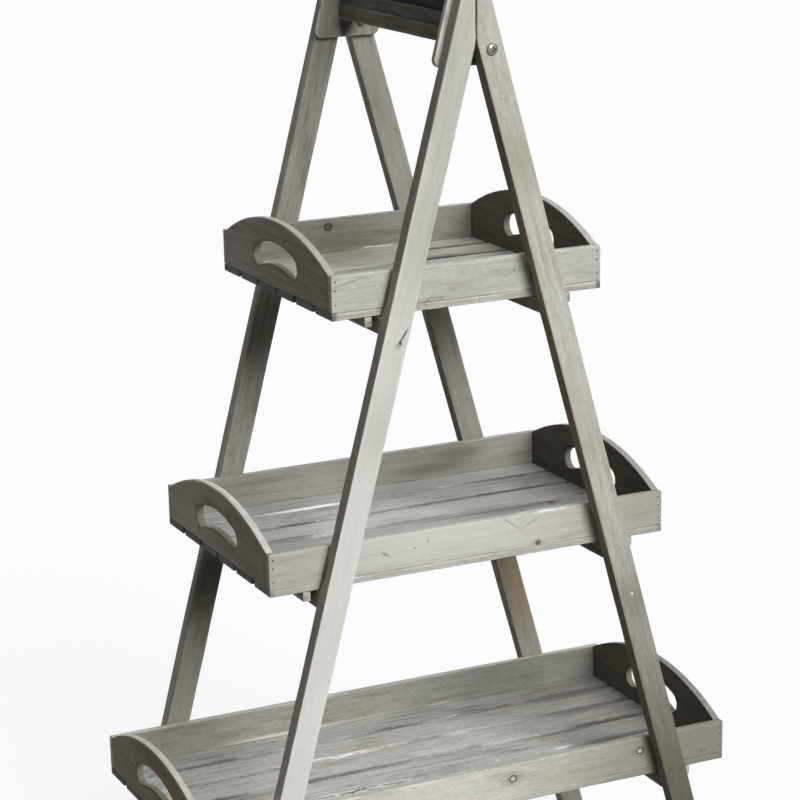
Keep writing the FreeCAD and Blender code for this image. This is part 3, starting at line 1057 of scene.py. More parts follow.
# Painted contact shadows on the front legs' left sides where they cross the trays' front rails.
CONTACT_SHADES = tuple(leg_side(height, 28, (30, 27, 23), 0.85, 0.25, 1) for height in (834, 525, 212))
FRONT_LEFT_LEG_MARKS = (
    Mark(380, 0, 440, 60, (208, 208, 204), 0.6, 0.3),
    Mark(1060, 0, 150, 60, (174, 173, 161), 0.5, 0.6),
    Mark(890, 4, 46, 24, (172, 174, 160), 0.5, 0.9),
    Mark(680, 4, 34, 24, (178, 179, 170), 0.5, 0.9),
    Mark(781.5, 7, 16, 7, (204, 204, 199), 0.6, 0.6),
    # Painted shadow below the hook that the next two marks draw.
    Mark(777, 4.5, 4, 4, (120, 116, 108), 0.5, 0.8),
    Mark(787.5, 7.5, 9, 1.3, (40, 36, 30), 0.85, 0.5, 22),
    Mark(780.5, 5.5, 3, 1.6, (40, 36, 30), 0.8, 0.5, -40),
    leg_side(600, 800, (148, 140, 129), 0.9, 0.15),
    leg_side(1060, 240, (112, 103, 90), 0.6, 0.3),
    Mark(1154, 2.4, 48, 1, (58, 52, 44), 0.8, 0.4, -14.8),
    *CONTACT_SHADES,
)
FRONT_RIGHT_LEG_MARKS = (
    # The lower part of the leg is darker: painted shade where the light falls off.
    Mark(60, 0, 345, 90, (86, 81, 65), 0.95, 0.8),
    Mark(430, 0, 26, 24, (120, 117, 98), 0.5, 0.9),
    Mark(660, 0, 60, 24, (164, 162, 144), 0.45, 0.9),
    Mark(437, 2, 1.6, 1.3, (236, 235, 230), 0.9, 0.4),
    Mark(970, 2, 44, 22, (146, 142, 118), 0.5, 0.9),
    leg_side(600, 800, (98, 91, 70), 0.9, 0.15),
    leg_side(1030, 230, (64, 58, 45), 0.8, 0.4),
    Mark(780, -14.3, 330, 0.6, (156, 130, 84), 0.35, 0.5),
    Mark(1154, -2.4, 48, 1, (58, 52, 44), 0.8, 0.4, 14.8),
    *CONTACT_SHADES,
)
# Painted shadows of the trays on the rear legs' front faces, darkest just below each tray.
REAR_LEFT_LEG_MARKS = (
    Mark(738, 0, 36, 40, (64, 61, 52), 0.5, 0.9, face=-1),
    Mark(425, 0, 42, 40, (40, 37, 31), 0.75, 0.9, face=-1),
    Mark(290, 0, 120, 40, (120, 117, 104), 0.45, 0.7, face=-1),
)
# On the right rear leg the patches at 455 and 700 millimetres are painted tray shadows too.
REAR_RIGHT_LEG_MARKS = (
    Mark(345, 0, 60, 30, (130, 112, 90), 0.65, 0.7, face=-1),
    Mark(455, 0, 40, 30, (62, 56, 48), 0.6, 0.9, face=-1),
    Mark(700, 0, 34, 40, (74, 69, 59), 0.5, 0.9, face=-1),
    leg_side(600, 800, (98, 92, 76), 0.9, 0.15),
)
# Painted shadow on the front gusset, in the gap between the legs below the mitre.
FRONT_GUSSET_MARKS = (Mark(-52, 0, 18, 11, (40, 37, 31), 0.9, 0.4, face=-1),)
REAR_GUSSET_MARKS = (Mark(-46.4, -3, 9, 14, (74, 60, 48), 0.7, 0.8),)

# Finishes of the pieces.
LEG_PAINT = GreyWash("leg_paint", (202, 202, 195), (190, 190, 181), (170, 168, 156), edge=(226, 225, 220), mottle=0.3)
FRONT_LEFT_PAINT = LEG_PAINT.version("front_left", marks=FRONT_LEFT_LEG_MARKS)
FRONT_RIGHT_PAINT = GreyWash(
    "folding_leg_paint_front_right",
    pale=(196, 195, 187),
    middle=(184, 183, 173),
    dark=(162, 160, 147),
    tint=(160, 154, 126),
    tint_share=0.35,
    edge=(170, 164, 142),
    edge_share=0.5,
    mottle=0.38,
    marks=FRONT_RIGHT_LEG_MARKS,
)
REAR_PAINT = GreyWash(
    "rear_leg_paint", (204, 203, 191), (188, 187, 174), (152, 149, 132), (186, 176, 146), 0.35, edge_share=0.3
)
# The rear legs' front faces are darker: painted shade for the light that falls off towards the back.
REAR_LEFT_PAINT, REAR_RIGHT_PAINT = (
    REAR_PAINT.version(f"{side.word}_marked", inside=Inside(-1, 8.0 * MM, share), marks=marks)
    for side, share, marks in ((Side.LEFT, 0.64, REAR_LEFT_LEG_MARKS), (Side.RIGHT, 0.5, REAR_RIGHT_LEG_MARKS))
)
BATTEN_PAINT = GreyWash("batten_paint", (119, 115, 99), (102, 97, 80), (72, 66, 50), edge_share=0.15)
GUSSET_PAINT = GreyWash("gusset_paint", (184, 182, 176), (166, 163, 156), (126, 120, 110), edge_share=0.7)
FRONT_GUSSET_PAINT = GUSSET_PAINT.version("front", marks=FRONT_GUSSET_MARKS)
# The rear gusset's front face is darker, as painted shade for the light that falls off towards the back; its mark is
# a stain.
REAR_GUSSET_PAINT = GUSSET_PAINT.version("rear_stain", inside=Inside(-1, -3.0 * MM, 0.61), marks=REAR_GUSSET_MARKS)
RIDGE_PAINT = GreyWash(
    "ridge_paint", (124, 121, 106), (106, 104, 90), (78, 75, 64), (110, 104, 80), 0.4, edge_share=0.2
)
SIGN_PAINT = RIDGE_PAINT.shaded("sign", 0.65)
SIGN_BLACK = Chalkboard("chalkboard_paint")
SIDE_PAINT = GreyWash("tray_side_paint", chip_share=0.6, pit_share=0.6, mottle=0.32)
FRONT_SLAT_PAINT = SIDE_PAINT.shaded("front_slat", 0.8)
END_PAINT = GreyWash(
    "tray_end_paint",
    pale=(184, 180, 170),
    middle=(175, 170, 160),
    dark=(155, 149, 138),
    tint=(154, 144, 122),
    edge=(208, 207, 202),
    edge_share=0.9,
    edge_least=0.6,
)
SLAT_PAINT = GreyWash(
    "slat_paint",
    pale=(208, 209, 206),
    middle=(190, 190, 185),
    dark=(132, 130, 123),
    tint=(164, 154, 138),
    edge=(150, 147, 140),
    edge_share=0.4,
    chip_share=0.45,
    mottle=0.4,
    dirt_from=22.2 * MM,
)
# The slat next to the back rail is darker all over: painted shade of the rail.
BACK_SLAT_PAINT = SLAT_PAINT.shaded("back_slat", 0.88)
CLEAT_PAINT = GreyWash("cleat_paint", (178, 177, 168), (158, 156, 146), (112, 109, 98), edge_share=0.3)
BARE_WOOD = GreyWash("bare_dowel_wood", (206, 180, 138), (188, 160, 118), (150, 122, 86), (190, 150, 100))
BOLT_STEEL = Steel("bolt_steel_bright", (146, 144, 139), (104, 101, 94))
SCREW_STEEL = Steel("screw_steel_plated", (150, 145, 130), (104, 99, 88), 0.42)
NAIL_STEEL = Steel("nail_steel_dulled", (84, 79, 72), (52, 47, 42), 0.55)
# Colour casts of the painted shade inside the trays' back rails and ends.
BACK_CAST = (1.0, 0.98, 0.93)
END_CAST = (1.0, 1.0, 0.89)


class Maker:
    """Numbers the boards, and hands each piece to its body, its node and its finish."""

    def __init__(self) -> None:
        """Start at the first board."""
        self.count = 0

    def rng(self) -> Rng:
        """Source of random values for the next board, the same on every run."""
        return np.random.default_rng(FIRST_SEED + self.count)

    def place(self, surface: Surface, node: str, body: str, slot: str, finish: Finish) -> None:
        """Make an object that stands for a node.

        Args:
            surface: Its shape.
            node: The node that it replaces.
            body: The body that it rides on.
            slot: Not used.
            finish: Its finish.
        """
        self.count += 1
        made = surface.to_object(f"{node}_look", (self.count * BOARD_STEP) % 1.0)
        made.data.materials.append(finish.material())
        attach(made, body)
        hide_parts(node)
        LOG.info("%s: %d faces, %s", node, len(made.data.polygons), finish.name)


@dataclass(frozen=True)
class Plank:
    """Straight board that fills a node's box.

    Attributes:
        node: The node.
        way: The way of its grain.
        wear: How it has worn.
    """

    node: str
    way: Way
    wear: Wear = Wear()

    def build(self, rng: Rng) -> Surface:
        """The board in the node's own box."""
        return self.between(rng, *(np.array(corner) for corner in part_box(self.node)))

    def between(self, rng: Rng, low: Array, high: Array) -> Surface:
        """Carry an eased rectangle between two corners of a box.

        Args:
            rng: Seeded source of the wear.
            low: Lowest corner.
            high: Highest corner.

        Returns:
            The board's surface.
        """
        half, middle = (high - low) / 2.0, (low + high) / 2.0
        length = self.way.value
        width, thickness = sorted((axis for axis in range(3) if axis != length), key=lambda axis: -half[axis])
        along, inset = self.wear.stations(low[length], high[length])
        *grain, worn = self.wear.rings(rng, along, inset, half[width], half[thickness])
        points = np.stack(grain, axis=-1)[..., np.argsort([length, width, thickness])]
        middle[length] = 0.0
        return tube(points + middle, np.stack(grain, axis=-1), worn)


@dataclass(frozen=True)
class LeaningLegs:
    """What the four legs and six battens share.

    Attributes:
        lean: Lean of the legs, in radians.
        width: Width of a leg, square to its length.
        apex: Height at which the outer edges of a pair would meet.
        mitre: Half the gap between two leg heads.
        dowel: Radius of a dowel.
        dowel_in_batten: Length of a dowel inside its batten.
        wear: How the legs and battens have worn.
    """

    lean: float = math.radians(15.3)
    width: float = 30.0 * MM
    apex: float = 1220.0 * MM
    mitre: float = 0.4 * MM
    dowel: float = 4.0 * MM
    dowel_in_batten: float = 20.0 * MM
    wear: Wear = Wear(arris=1.3 * MM, spacing=40.0 * MM, end=1.0 * MM)

    @property
    def level_width(self) -> float:
        """Width of a leg on a level cut."""
        return self.width / math.cos(self.lean)

    def edge(self, height: Array | float) -> Array | float:
        """Distance from the centre plane to a leg's outer edge at a height."""
        return (self.apex - height) * math.tan(self.lean)

    def centre(self, height: Array | float) -> Array | float:
        """Distance from the centre plane to the middle of a leg at a height."""
        return self.edge(height) - self.level_width / 2.0

    def leg(self, rng: Rng, side: Side, depth: Depth) -> Surface:
        """One leg: level sections stacked from foot to head, each between the leg's two edges.

        The outer edge leans to the apex. The inner edge keeps the leg's width below the mitre and stays on the
        centre plane above it, so the head narrows to its level top.

        Args:
            rng: Seeded source of the wear.
            side: Side of the stand.
            depth: Front or rear.

        Returns:
            The leg's surface.
        """
        low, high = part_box(f"{depth.word}_{side.word}_leg")
        height, inset = self.wear.stations(low.z, high.z)
        outer = self.edge(height)
        inner = np.maximum(outer - self.level_width, self.mitre)
        half_width, half_depth = (outer - inner) / 2.0, (high.y - low.y) / 2.0
        level, across, through, worn = self.wear.rings(rng, height, inset, half_width, half_depth)
        x = side.value * ((outer + inner)[:, None] / 2.0 + across)
        points = np.stack([x, (low.y + high.y) / 2.0 + through, level], axis=-1)
        offset = (x - side.value * self.centre(level)) * math.cos(self.lean)
        return tube(points, np.stack([level, offset, through], axis=-1), worn)

    def batten(self, rng: Rng, side: Side, tray: str) -> Surface:
        """One batten: an eased rectangle sheared to the lean of the legs and carried from front to back.

        Args:
            rng: Seeded source of the wear.
            side: Side of the stand.
            tray: Name of the tray that it carries.

        Returns:
            The batten's surface.
        """
        low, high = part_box(f"{side.word}_{tray}_batten")
        along, inset = self.wear.stations(low.y, high.y)
        half_width, half_height = self.level_width / 2.0, (high.z - low.z) / 2.0
        depth, across, through, worn = self.wear.rings(rng, along, inset, half_width, half_height)
        height = (low.z + high.z) / 2.0 + through
        x = side.value * (self.centre(height) + across)
        return tube(np.stack([x, depth, height], axis=-1), np.stack([depth, across, through], axis=-1), worn)

    def dowels(self, side: Side) -> Surface:
        """The dowels of one side: fluted pins with bevelled ends, one at each end of each batten.

        The radius falls in shallow flutes with the cosine of twelve times the angle, and narrows at both ends.

        Args:
            side: Side of the stand.

        Returns:
            All six dowels.
        """
        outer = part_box(f"{side.word}_dowels")[1].y
        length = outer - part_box(f"rear_{side.word}_leg")[0].y + self.dowel_in_batten
        bevel, flute, flutes = 1.2 * MM, 0.12 * MM, 12
        rise = np.array([0.0, bevel, length / 2.0, length - bevel, length])[:, None]
        narrow = np.array([bevel / 2.0, 0.0, 0.0, 0.0, bevel / 2.0])[:, None]
        radius = self.dowel - narrow - flute * (1.0 + np.cos(flutes * round_angles(PLAIN_ROUND)))
        axes = []
        for tray in TRAYS:
            low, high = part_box(f"{side.word}_{tray}_batten")
            height = (low.z + high.z) / 2.0
            x = side.value * self.centre(height)
            axes += [((x, depth.value * outer, height), depth.inwards) for depth in Depth]
        return turned(radius, rise, axes)


@dataclass
class LegFrame:
    """One half of the folding frame: two legs, three battens and their dowels.

    Attributes:
        side: Side of the stand.
        body: Body that it rides on.
        paints: Finishes of its front and rear legs.
        legs: Shape of the legs.
    """

    side: Side
    body: str
    paints: tuple[GreyWash, GreyWash]
    legs: LeaningLegs = LeaningLegs()

    def build(self, maker: Maker) -> None:
        """Make the half's pieces.

        Args:
            maker: Places the pieces.
        """
        word = self.side.word
        for depth, paint in zip(Depth, self.paints):
            surface = self.legs.leg(maker.rng(), self.side, depth)
            maker.place(surface, f"{depth.word}_{word}_leg", self.body, "leg_wood", paint)
        for tray in TRAYS:
            surface = self.legs.batten(maker.rng(), self.side, tray)
            maker.place(surface, f"{word}_{tray}_batten", self.body, "batten_wood", BATTEN_PAINT)
        maker.place(self.legs.dowels(self.side), f"{word}_dowels", self.body, "dowel_wood", BARE_WOOD)


@dataclass
class Ridge:
    """The head of the fixed frame: gussets, ridge bar, chalkboard and screws.

    Attributes:
        body: Body that it rides on.
        legs: Shape of the legs, which the gussets follow.
        overhang: How far the gussets stand out past the legs.
        corner: Radius of the gussets' lower corners.
        eased: Radius of the gussets' edges.
        board_wear: How the chalkboard has worn.
        screw_shares: Heights of the leg screws, as shares of the gussets.
        leg_screw: Length of a leg screw.
        leg_screw_sunk: Depth of a leg screw's head under the leg's face.
        ridge_screw: Length of a ridge screw.
        ridge_screw_sunk: Depth of a ridge screw's head under the gusset's face.
    """

    body: str = "fixed_frame"
    legs: LeaningLegs = LeaningLegs()
    overhang: float = 6.0 * MM
    corner: float = 9.0 * MM
    eased: float = 1.3 * MM
    board_wear: Wear = Wear(arris=0.4 * MM, hollow=0.1 * MM, end=0.3 * MM)
    screw_shares: tuple[float, float] = (0.33, 0.67)
    leg_screw: float = 23.5 * MM
    leg_screw_sunk: float = 0.4 * MM
    ridge_screw: float = 29.5 * MM
    ridge_screw_sunk: float = 0.2 * MM

    def build(self, maker: Maker) -> None:
        """Make the head's pieces.

        Args:
            maker: Places the pieces.
        """
        for depth, paint in zip(Depth, (FRONT_GUSSET_PAINT, REAR_GUSSET_PAINT)):
            maker.place(self.gusset(depth), f"{depth.word}_gusset", self.body, "gusset_wood", paint)
        bars = {"ridge_bar": RIDGE_PAINT, "sign_bottom_rail": SIGN_PAINT, "sign_top_rail": SIGN_PAINT}
        for node, paint in bars.items():
            surface = Plank(node, Way.FRONT_TO_BACK).build(maker.rng())
            maker.place(surface, node, self.body, "sign_frame_wood", paint)
        board = Plank("sign_board", Way.FRONT_TO_BACK, self.board_wear).build(maker.rng())
        maker.place(board, "sign_board", self.body, "chalkboard", SIGN_BLACK)
        maker.place(self.leg_screws(), "gusset_screws", self.body, "screw_steel", SCREW_STEEL)
        maker.place(self.ridge_screws(), "ridge_screws", self.body, "screw_steel", SCREW_STEEL)

    def outline(self, low: float, high: float) -> tuple[Array, Array]:
        """Outline of a gusset in the plane of the legs, and its outward directions.

        It is four corners joined by straight runs. Each corner is an arc that turns from the direction of one side
        to that of the next, large below and small above.

        Args:
            low: Height of its foot.
            high: Height of its top.

        Returns:
            Points of the outline, and the unit vector outwards at each.
        """
        steps, slope, quarter = 9, self.legs.lean, math.pi / 2
        foot, top = (self.legs.edge(height) + self.overhang for height in (low, high))
        corners = np.array([(foot, low), (top, high), (-top, high), (-foot, low)])
        radii = (self.corner, self.eased, self.eased, self.corner)
        turns = (-quarter, slope, quarter, math.pi - slope, 3.0 * quarter)
        arcs, outwards = [], []
        for corner, radius, start, end in zip(corners, radii, turns, turns[1:]):
            angle = np.linspace(start, end, steps)
            reach, middle = radius / math.cos((end - start) / 2.0), (start + end) / 2.0
            centre = corner - reach * np.array([math.cos(middle), math.sin(middle)])
            direction = np.stack([np.cos(angle), np.sin(angle)], axis=1)
            arcs.append(centre + radius * direction)
            outwards.append(direction)
        return np.concatenate(arcs), np.concatenate(outwards)

    def gusset(self, depth: Depth) -> Surface:
        """One gusset: its outline carried through the plate, drawn in at both faces by a quarter circle.

        Args:
            depth: Front or rear.

        Returns:
            The gusset's surface.
        """
        low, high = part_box(f"{depth.word}_gusset")
        points, outwards = self.outline(low.z, high.z)
        sunk, drawn = quarter_round(self.eased)
        border = 4.0 * MM
        inset = np.concatenate([[border], drawn, drawn[::-1], [border]])[:, None, None]
        y = np.concatenate([[low.y], low.y + sunk, high.y - sunk[::-1], [high.y]])
        rings = points[None] - inset * outwards[None]
        depths = np.broadcast_to(y[:, None], rings.shape[:2])
        x, z = rings[..., 0], rings[..., 1]
        grain = np.stack([z - (low.z + high.z) / 2.0, x, depths - (low.y + high.y) / 2.0], axis=-1)
        worn = np.broadcast_to((inset[..., 0] < border / 2.0).astype(float), depths.shape)
        return tube(np.stack([x, depths, z], axis=-1), grain, worn)

    def screws(self, length: float, axes: list[Axis]) -> Surface:
        """Countersunk screws: a flat head that narrows to the neck, and a thread that climbs a tapering shank.

        The thread swells the shank with the cosine of the angle less the turns climbed, below a plain neck.

        Args:
            length: Length of a screw.
            axes: Places of the heads, and ways that the screws point.

        Returns:
            The screws.
        """
        head, neck, root, tip, rim, depth = 3.5 * MM, 1.75 * MM, 1.2 * MM, 0.1 * MM, 0.3 * MM, 2.6 * MM
        pitch, swell = 2.4 * MM, 0.5 * MM
        rise = np.concatenate([[0.0, rim, depth], np.linspace(1.3 * depth, 0.98 * length, 60), [length]])[:, None]
        places = [0.0, rim, depth, 0.4 * length, 0.9 * length, length]
        shank = np.interp(rise, places, [head, head, neck, root, root, tip])
        threaded = np.interp(rise, [0.3 * length, *places[3:]], [0.0, 1.0, 1.0, 0.0])
        climb = 0.5 + 0.5 * np.cos(round_angles(SCREW_ROUND) - 2.0 * math.pi * rise / pitch)
        return turned(shank + swell * threaded * climb**4, rise, axes)

    def leg_screws(self) -> Surface:
        """The four screws through the left legs into the gussets.

        Returns:
            The screws.
        """
        low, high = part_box("front_gusset")
        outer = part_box("rear_left_leg")[1].y - self.leg_screw_sunk
        heights = [low.z + share * (high.z - low.z) for share in self.screw_shares]
        axes = [
            ((-(self.legs.edge(height) + self.legs.mitre) / 2.0, depth.value * outer, height), depth.inwards)
            for depth in Depth
            for height in heights
        ]
        return self.screws(self.leg_screw, axes)

    def ridge_screws(self) -> Surface:
        """The two screws through the gussets into the ends of the ridge bar.

        Returns:
            The screws.
        """
        low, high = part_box("ridge_bar")
        outer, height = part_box("rear_gusset")[1].y - self.ridge_screw_sunk, (low.z + high.z) / 2.0
        return self.screws(self.ridge_screw, [((0.0, depth.value * outer, height), depth.inwards) for depth in Depth])


@dataclass
class Pivots:
    """The two hinge bolts, with their washers and nuts.

    Attributes:
        body: Body that they ride on.
        above_foot: Height of the pivot over the foot of the gussets.
        legs: Shape of the legs.
        head: Radius of a bolt's head.
        head_height: Height of the head.
        rim: Height of the head's straight rim.
        shank: Radius of the shank.
        past_nut: How far the shank stands out of its nut.
        pitch: Rise of the thread in a turn.
        thread: Depth of the thread.
        slot_length: Length of the head's cross.
        slot_width: Width of its slots.
        slot_depth: Depth of its slots.
        slot_wall: Width over which a slot's wall slopes.
        washer: Thickness of a washer.
        flats: Width of a nut across its flats.
        nut_height: Height of a nut.
    """

    body: str = "fixed_frame"
    above_foot: float = 19.0 * MM
    legs: LeaningLegs = LeaningLegs()
    head: float = 6.5 * MM
    head_height: float = 3.6 * MM
    rim: float = 0.9 * MM
    shank: float = 3.0 * MM
    past_nut: float = 2.0 * MM
    pitch: float = 1.0 * MM
    thread: float = 0.28 * MM
    slot_length: float = 7.0 * MM
    slot_width: float = 1.5 * MM
    slot_depth: float = 1.6 * MM
    slot_wall: float = 0.35 * MM
    washer: float = 1.6 * MM
    flats: float = 10.0 * MM
    nut_height: float = 5.0 * MM

    def build(self, maker: Maker) -> None:
        """Make the bolts, washers and nuts.

        Args:
            maker: Places the pieces.
        """
        pieces = {"pivot_bolts": self.bolts(), "pivot_washers": self.washers(), "pivot_nuts": self.nuts()}
        for node, surface in pieces.items():
            maker.place(surface, node, self.body, "bolt_steel", BOLT_STEEL)

    def axes(self, reach: float) -> list[Axis]:
        """Both pivots, from a distance to the middle of the stand inwards."""
        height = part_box("front_gusset")[0].z + self.above_foot
        return [((self.legs.centre(height), depth.value * reach, height), depth.inwards) for depth in Depth]

    def bolts(self) -> Surface:
        """Domed heads with a cross recess, on threaded shanks.

        The dome is an ellipse over the radius. Two crossed slots lower it, each a product of two eased steps. The
        thread ripples the end of the shank with the cosine of the angle less the turns climbed.

        Returns:
            Both bolts.
        """
        under_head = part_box("pivot_bolts")[1].y - self.head_height
        length = under_head - (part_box("pivot_nuts")[1].y - self.nut_height) + self.past_nut
        angle = round_angles(FINE_ROUND)
        crown = np.linspace(0.03, 1.0, 30)[:, None] * self.head * np.ones_like(angle)
        dome = -self.rim - (self.head_height - self.rim) * np.sqrt(np.maximum(1.0 - (crown / self.head) ** 2, 0.0))
        dome += self.slot_depth * self.cross(crown * np.cos(angle), crown * np.sin(angle))
        rise = np.concatenate([[0.0, 0.0, 0.5 * length], np.linspace(0.6 * length, length, 60)])[:, None]
        stem = np.full(rise.shape, self.shank)
        stem[0] = self.head
        ripple = np.interp(rise, [0.6 * length, 0.65 * length, 0.97 * length, length], [0.0, 1.0, 1.0, 1.5])
        thread = self.thread * ripple * (0.5 - 0.5 * np.cos(angle - 2.0 * math.pi * rise / self.pitch))
        radius = np.concatenate([crown, stem - thread])
        return turned(radius, np.concatenate([dome, rise * np.ones_like(angle)]), self.axes(under_head))

    def cross(self, first: Array, second: Array) -> Array:
        """Depth of the cross recess as a share, on places across the head.

        Args:
            first: Distance along one slot.
            second: Distance along the other.

        Returns:
            1 in the slots and 0 beside them, with eased walls.
        """
        slots = [
            eased_step(along, self.slot_length / 2.0, self.slot_wall)
            * eased_step(across, self.slot_width / 2.0, self.slot_wall)
            for along, across in ((first, second), (second, first))
        ]
        return np.maximum(*slots)

    def washers(self) -> Surface:
        """Flat washers: discs whose rims are half circles.

        Returns:
            Both washers.
        """
        low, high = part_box("pivot_washers")
        outer, half = (high.x - low.x) / 2.0, self.washer / 2.0
        angle = np.linspace(-math.pi / 2, math.pi / 2, 7)
        radius = np.concatenate([[self.shank], outer - half + half * np.cos(angle), [self.shank]])
        rise = np.concatenate([[0.0], half + half * np.sin(angle), [self.washer]])
        return turned(radius[:, None] * np.ones(PLAIN_ROUND), rise[:, None], self.axes(high.y))

    def nuts(self) -> Surface:
        """Hexagon nuts whose corners are cut by a cone.

        The radius to a flat is half the width over the cosine of the angle from the flat's middle, and no more than
        a cone that falls away towards both faces.

        Returns:
            Both nuts.
        """
        from_flat = (round_angles(FINE_ROUND) % (math.pi / 3)) - math.pi / 6
        hexagon = self.flats / 2.0 / np.cos(from_flat)
        rise = np.array([0.0, 0.0, 0.1, 0.2, 0.8, 0.9, 1.0, 1.0])[:, None] * self.nut_height
        cone = np.array([3.0, 4.9, 5.35, 6.0, 6.0, 5.35, 4.9, 3.0])[:, None] * MM
        return turned(np.minimum(hexagon, cone), rise, self.axes(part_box("pivot_nuts")[1].y))


@dataclass(frozen=True)
class HandHole:
    """Kidney-shaped hand hole: a slot bent along an arc, with round ends.

    Attributes:
        span: Distance between the centres of its round ends.
        bend: Rise of the slot's middle over its ends.
        width: Width of the slot.
        height: Height of its ends over the bottom of the board.
    """

    span: float = 100.0 * MM
    bend: float = 8.75 * MM
    width: float = 26.0 * MM
    height: float = 30.7 * MM

    def outline(self, steps: int) -> tuple[Array, Array]:
        """Outline from the middle of the board's bottom, and its outward directions.

        A point is a place on the slot's arc plus half the width times an outward direction. Along the slot the
        direction points from or to the arc's centre, and round an end it turns through half a circle.

        Args:
            steps: Points on each long side and, half as many, on each end.

        Returns:
            Places across and up, and the unit vector into the wood at each.
        """
        half_span = self.span / 2.0
        radius = (half_span**2 + self.bend**2) / (2.0 * self.bend)
        lean = math.asin(half_span / radius)
        sweep = np.linspace(-lean, lean, steps)
        round_end = np.linspace(0.0, math.pi, steps // 2 + 2)[1:-1]
        at = np.concatenate([sweep, np.full(len(round_end), lean), sweep[::-1], np.full(len(round_end), -lean)])
        turn = np.concatenate([sweep + math.pi, lean + math.pi - round_end, sweep[::-1], -lean - round_end])
        on_arc = np.stack([radius * np.sin(at), radius * np.cos(at) - radius + self.bend], axis=1)
        outwards = np.stack([np.sin(turn), np.cos(turn)], axis=1)
        return on_arc + self.width / 2.0 * outwards + np.array([0.0, self.height]), outwards


@dataclass(frozen=True)
class EndBoard:
    """Arched end of a tray with a hand hole.

    Attributes:
        node: The node.
        rise: Height of the arch over its shoulders.
        hole: The hand hole.
        hole_steps: Points on each long side of the hole.
        eased: Radius of the edges.
        unevenness: Share of that radius by which it comes and goes.
        spacing: Distance over which it comes and goes.
        fade: Distance from an edge over which its wear fades out.
    """

    node: str
    rise: float = 36.5 * MM
    hole: HandHole = HandHole()
    hole_steps: int = 56
    eased: float = 1.0 * MM
    unevenness: float = 0.35
    spacing: float = 25.0 * MM
    fade: float = 3.0 * MM

    def rim(self, start: Array, direction: Array, half: float, shoulder: float) -> Array:
        """Distance from points of the hole to the board's outline, along their outward directions.

        The distance is the least of four: to each side, to the bottom, and to the arch's circle.

        Args:
            start: Points of the hole's outline, from the middle of the bottom edge.
            direction: Unit vectors outwards.
            half: Half the board's length.
            shoulder: Height of its shoulders.

        Returns:
            The distances.
        """
        radius = (half**2 + self.rise**2) / (2.0 * self.rise)
        from_centre = start - np.array([0.0, shoulder + self.rise - radius])
        along = np.einsum("ij,ij->i", from_centre, direction)
        to_arch = -along + np.sqrt(along**2 - np.einsum("ij,ij->i", from_centre, from_centre) + radius**2)
        across, up = direction.T
        with np.errstate(divide="ignore", invalid="ignore"):
            to_side = np.where(across != 0.0, (np.sign(across) * half - start[:, 0]) / across, np.inf)
            to_bottom = np.where(up < 0.0, -start[:, 1] / up, np.inf)
        return np.minimum(np.minimum(to_arch, to_side), to_bottom)

    def build(self, rng: Rng) -> Surface:
        """The board as one ring of sections round the hand hole.

        Each section starts at the hole, crosses one face to the outline, goes over the edge and comes back across
        the other face. Both ends of a face are drawn in by a quarter circle, and the outline's corners take the
        nearest section.

        Args:
            rng: Seeded source of the wear.

        Returns:
            The board's surface.
        """
        low, high = (np.array(corner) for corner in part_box(self.node))
        half, thick = (high[1] - low[1]) / 2.0, high[0] - low[0]
        shoulder = high[2] - low[2] - self.rise
        inner, outwards = self.hole.outline(self.hole_steps)
        outer = inner + outwards * self.rim(inner, outwards, half, shoulder)[:, None]
        for corner in np.array([(-half, 0.0), (half, 0.0), (half, shoulder), (-half, shoulder)]):
            outer[np.argmin(np.linalg.norm(outer - corner, axis=1))] = corner
        gap = np.linalg.norm(outer - inner, axis=1)[:, None]
        around = np.cumsum(np.linalg.norm(np.diff(outer, axis=0, prepend=outer[-1:]), axis=1))
        eased = self.eased * (1.0 + self.unevenness * drift(rng, around, self.spacing))[:, None]
        drawn, sunk = quarter_round(eased)
        quarters = np.array([0.25, 0.5, 0.75])
        flat = np.concatenate([eased + self.fade, gap * quarters, gap - eased - self.fade], axis=1)
        face_out = np.concatenate([drawn, flat, gap - drawn[:, ::-1]], axis=1)
        face_in = np.concatenate([sunk, np.zeros_like(flat), sunk[:, ::-1]], axis=1)
        # Painted shade round the hole, plain paint on the flat, and wear along the outline.
        face_wear_and_shade = np.repeat([-1.0, 0.0, 1.0], [drawn.shape[1], flat.shape[1], drawn.shape[1]])
        share = (np.concatenate([face_out, face_out[:, ::-1]], axis=1) / gap)[..., None]
        across, up = np.moveaxis(inner[:, None] + (outer - inner)[:, None] * share, -1, 0)
        through = np.concatenate([face_in, thick - face_in[:, ::-1]], axis=1)
        points = np.stack([low[0] + through, (low[1] + high[1]) / 2.0 + across, low[2] + up], axis=-1)
        grain = np.stack([across, up - shoulder / 2.0, through - thick / 2.0], axis=-1)
        worn = np.broadcast_to(np.concatenate([face_wear_and_shade, face_wear_and_shade[::-1]]), through.shape)
        sections, loop = through.shape
        # The last section joins the first.
        quads = tube_quads(sections + 1, loop) % (sections * loop)
        return Surface(points.reshape(-1, 3), quads, [], grain.reshape(-1, 3), worn.reshape(-1))


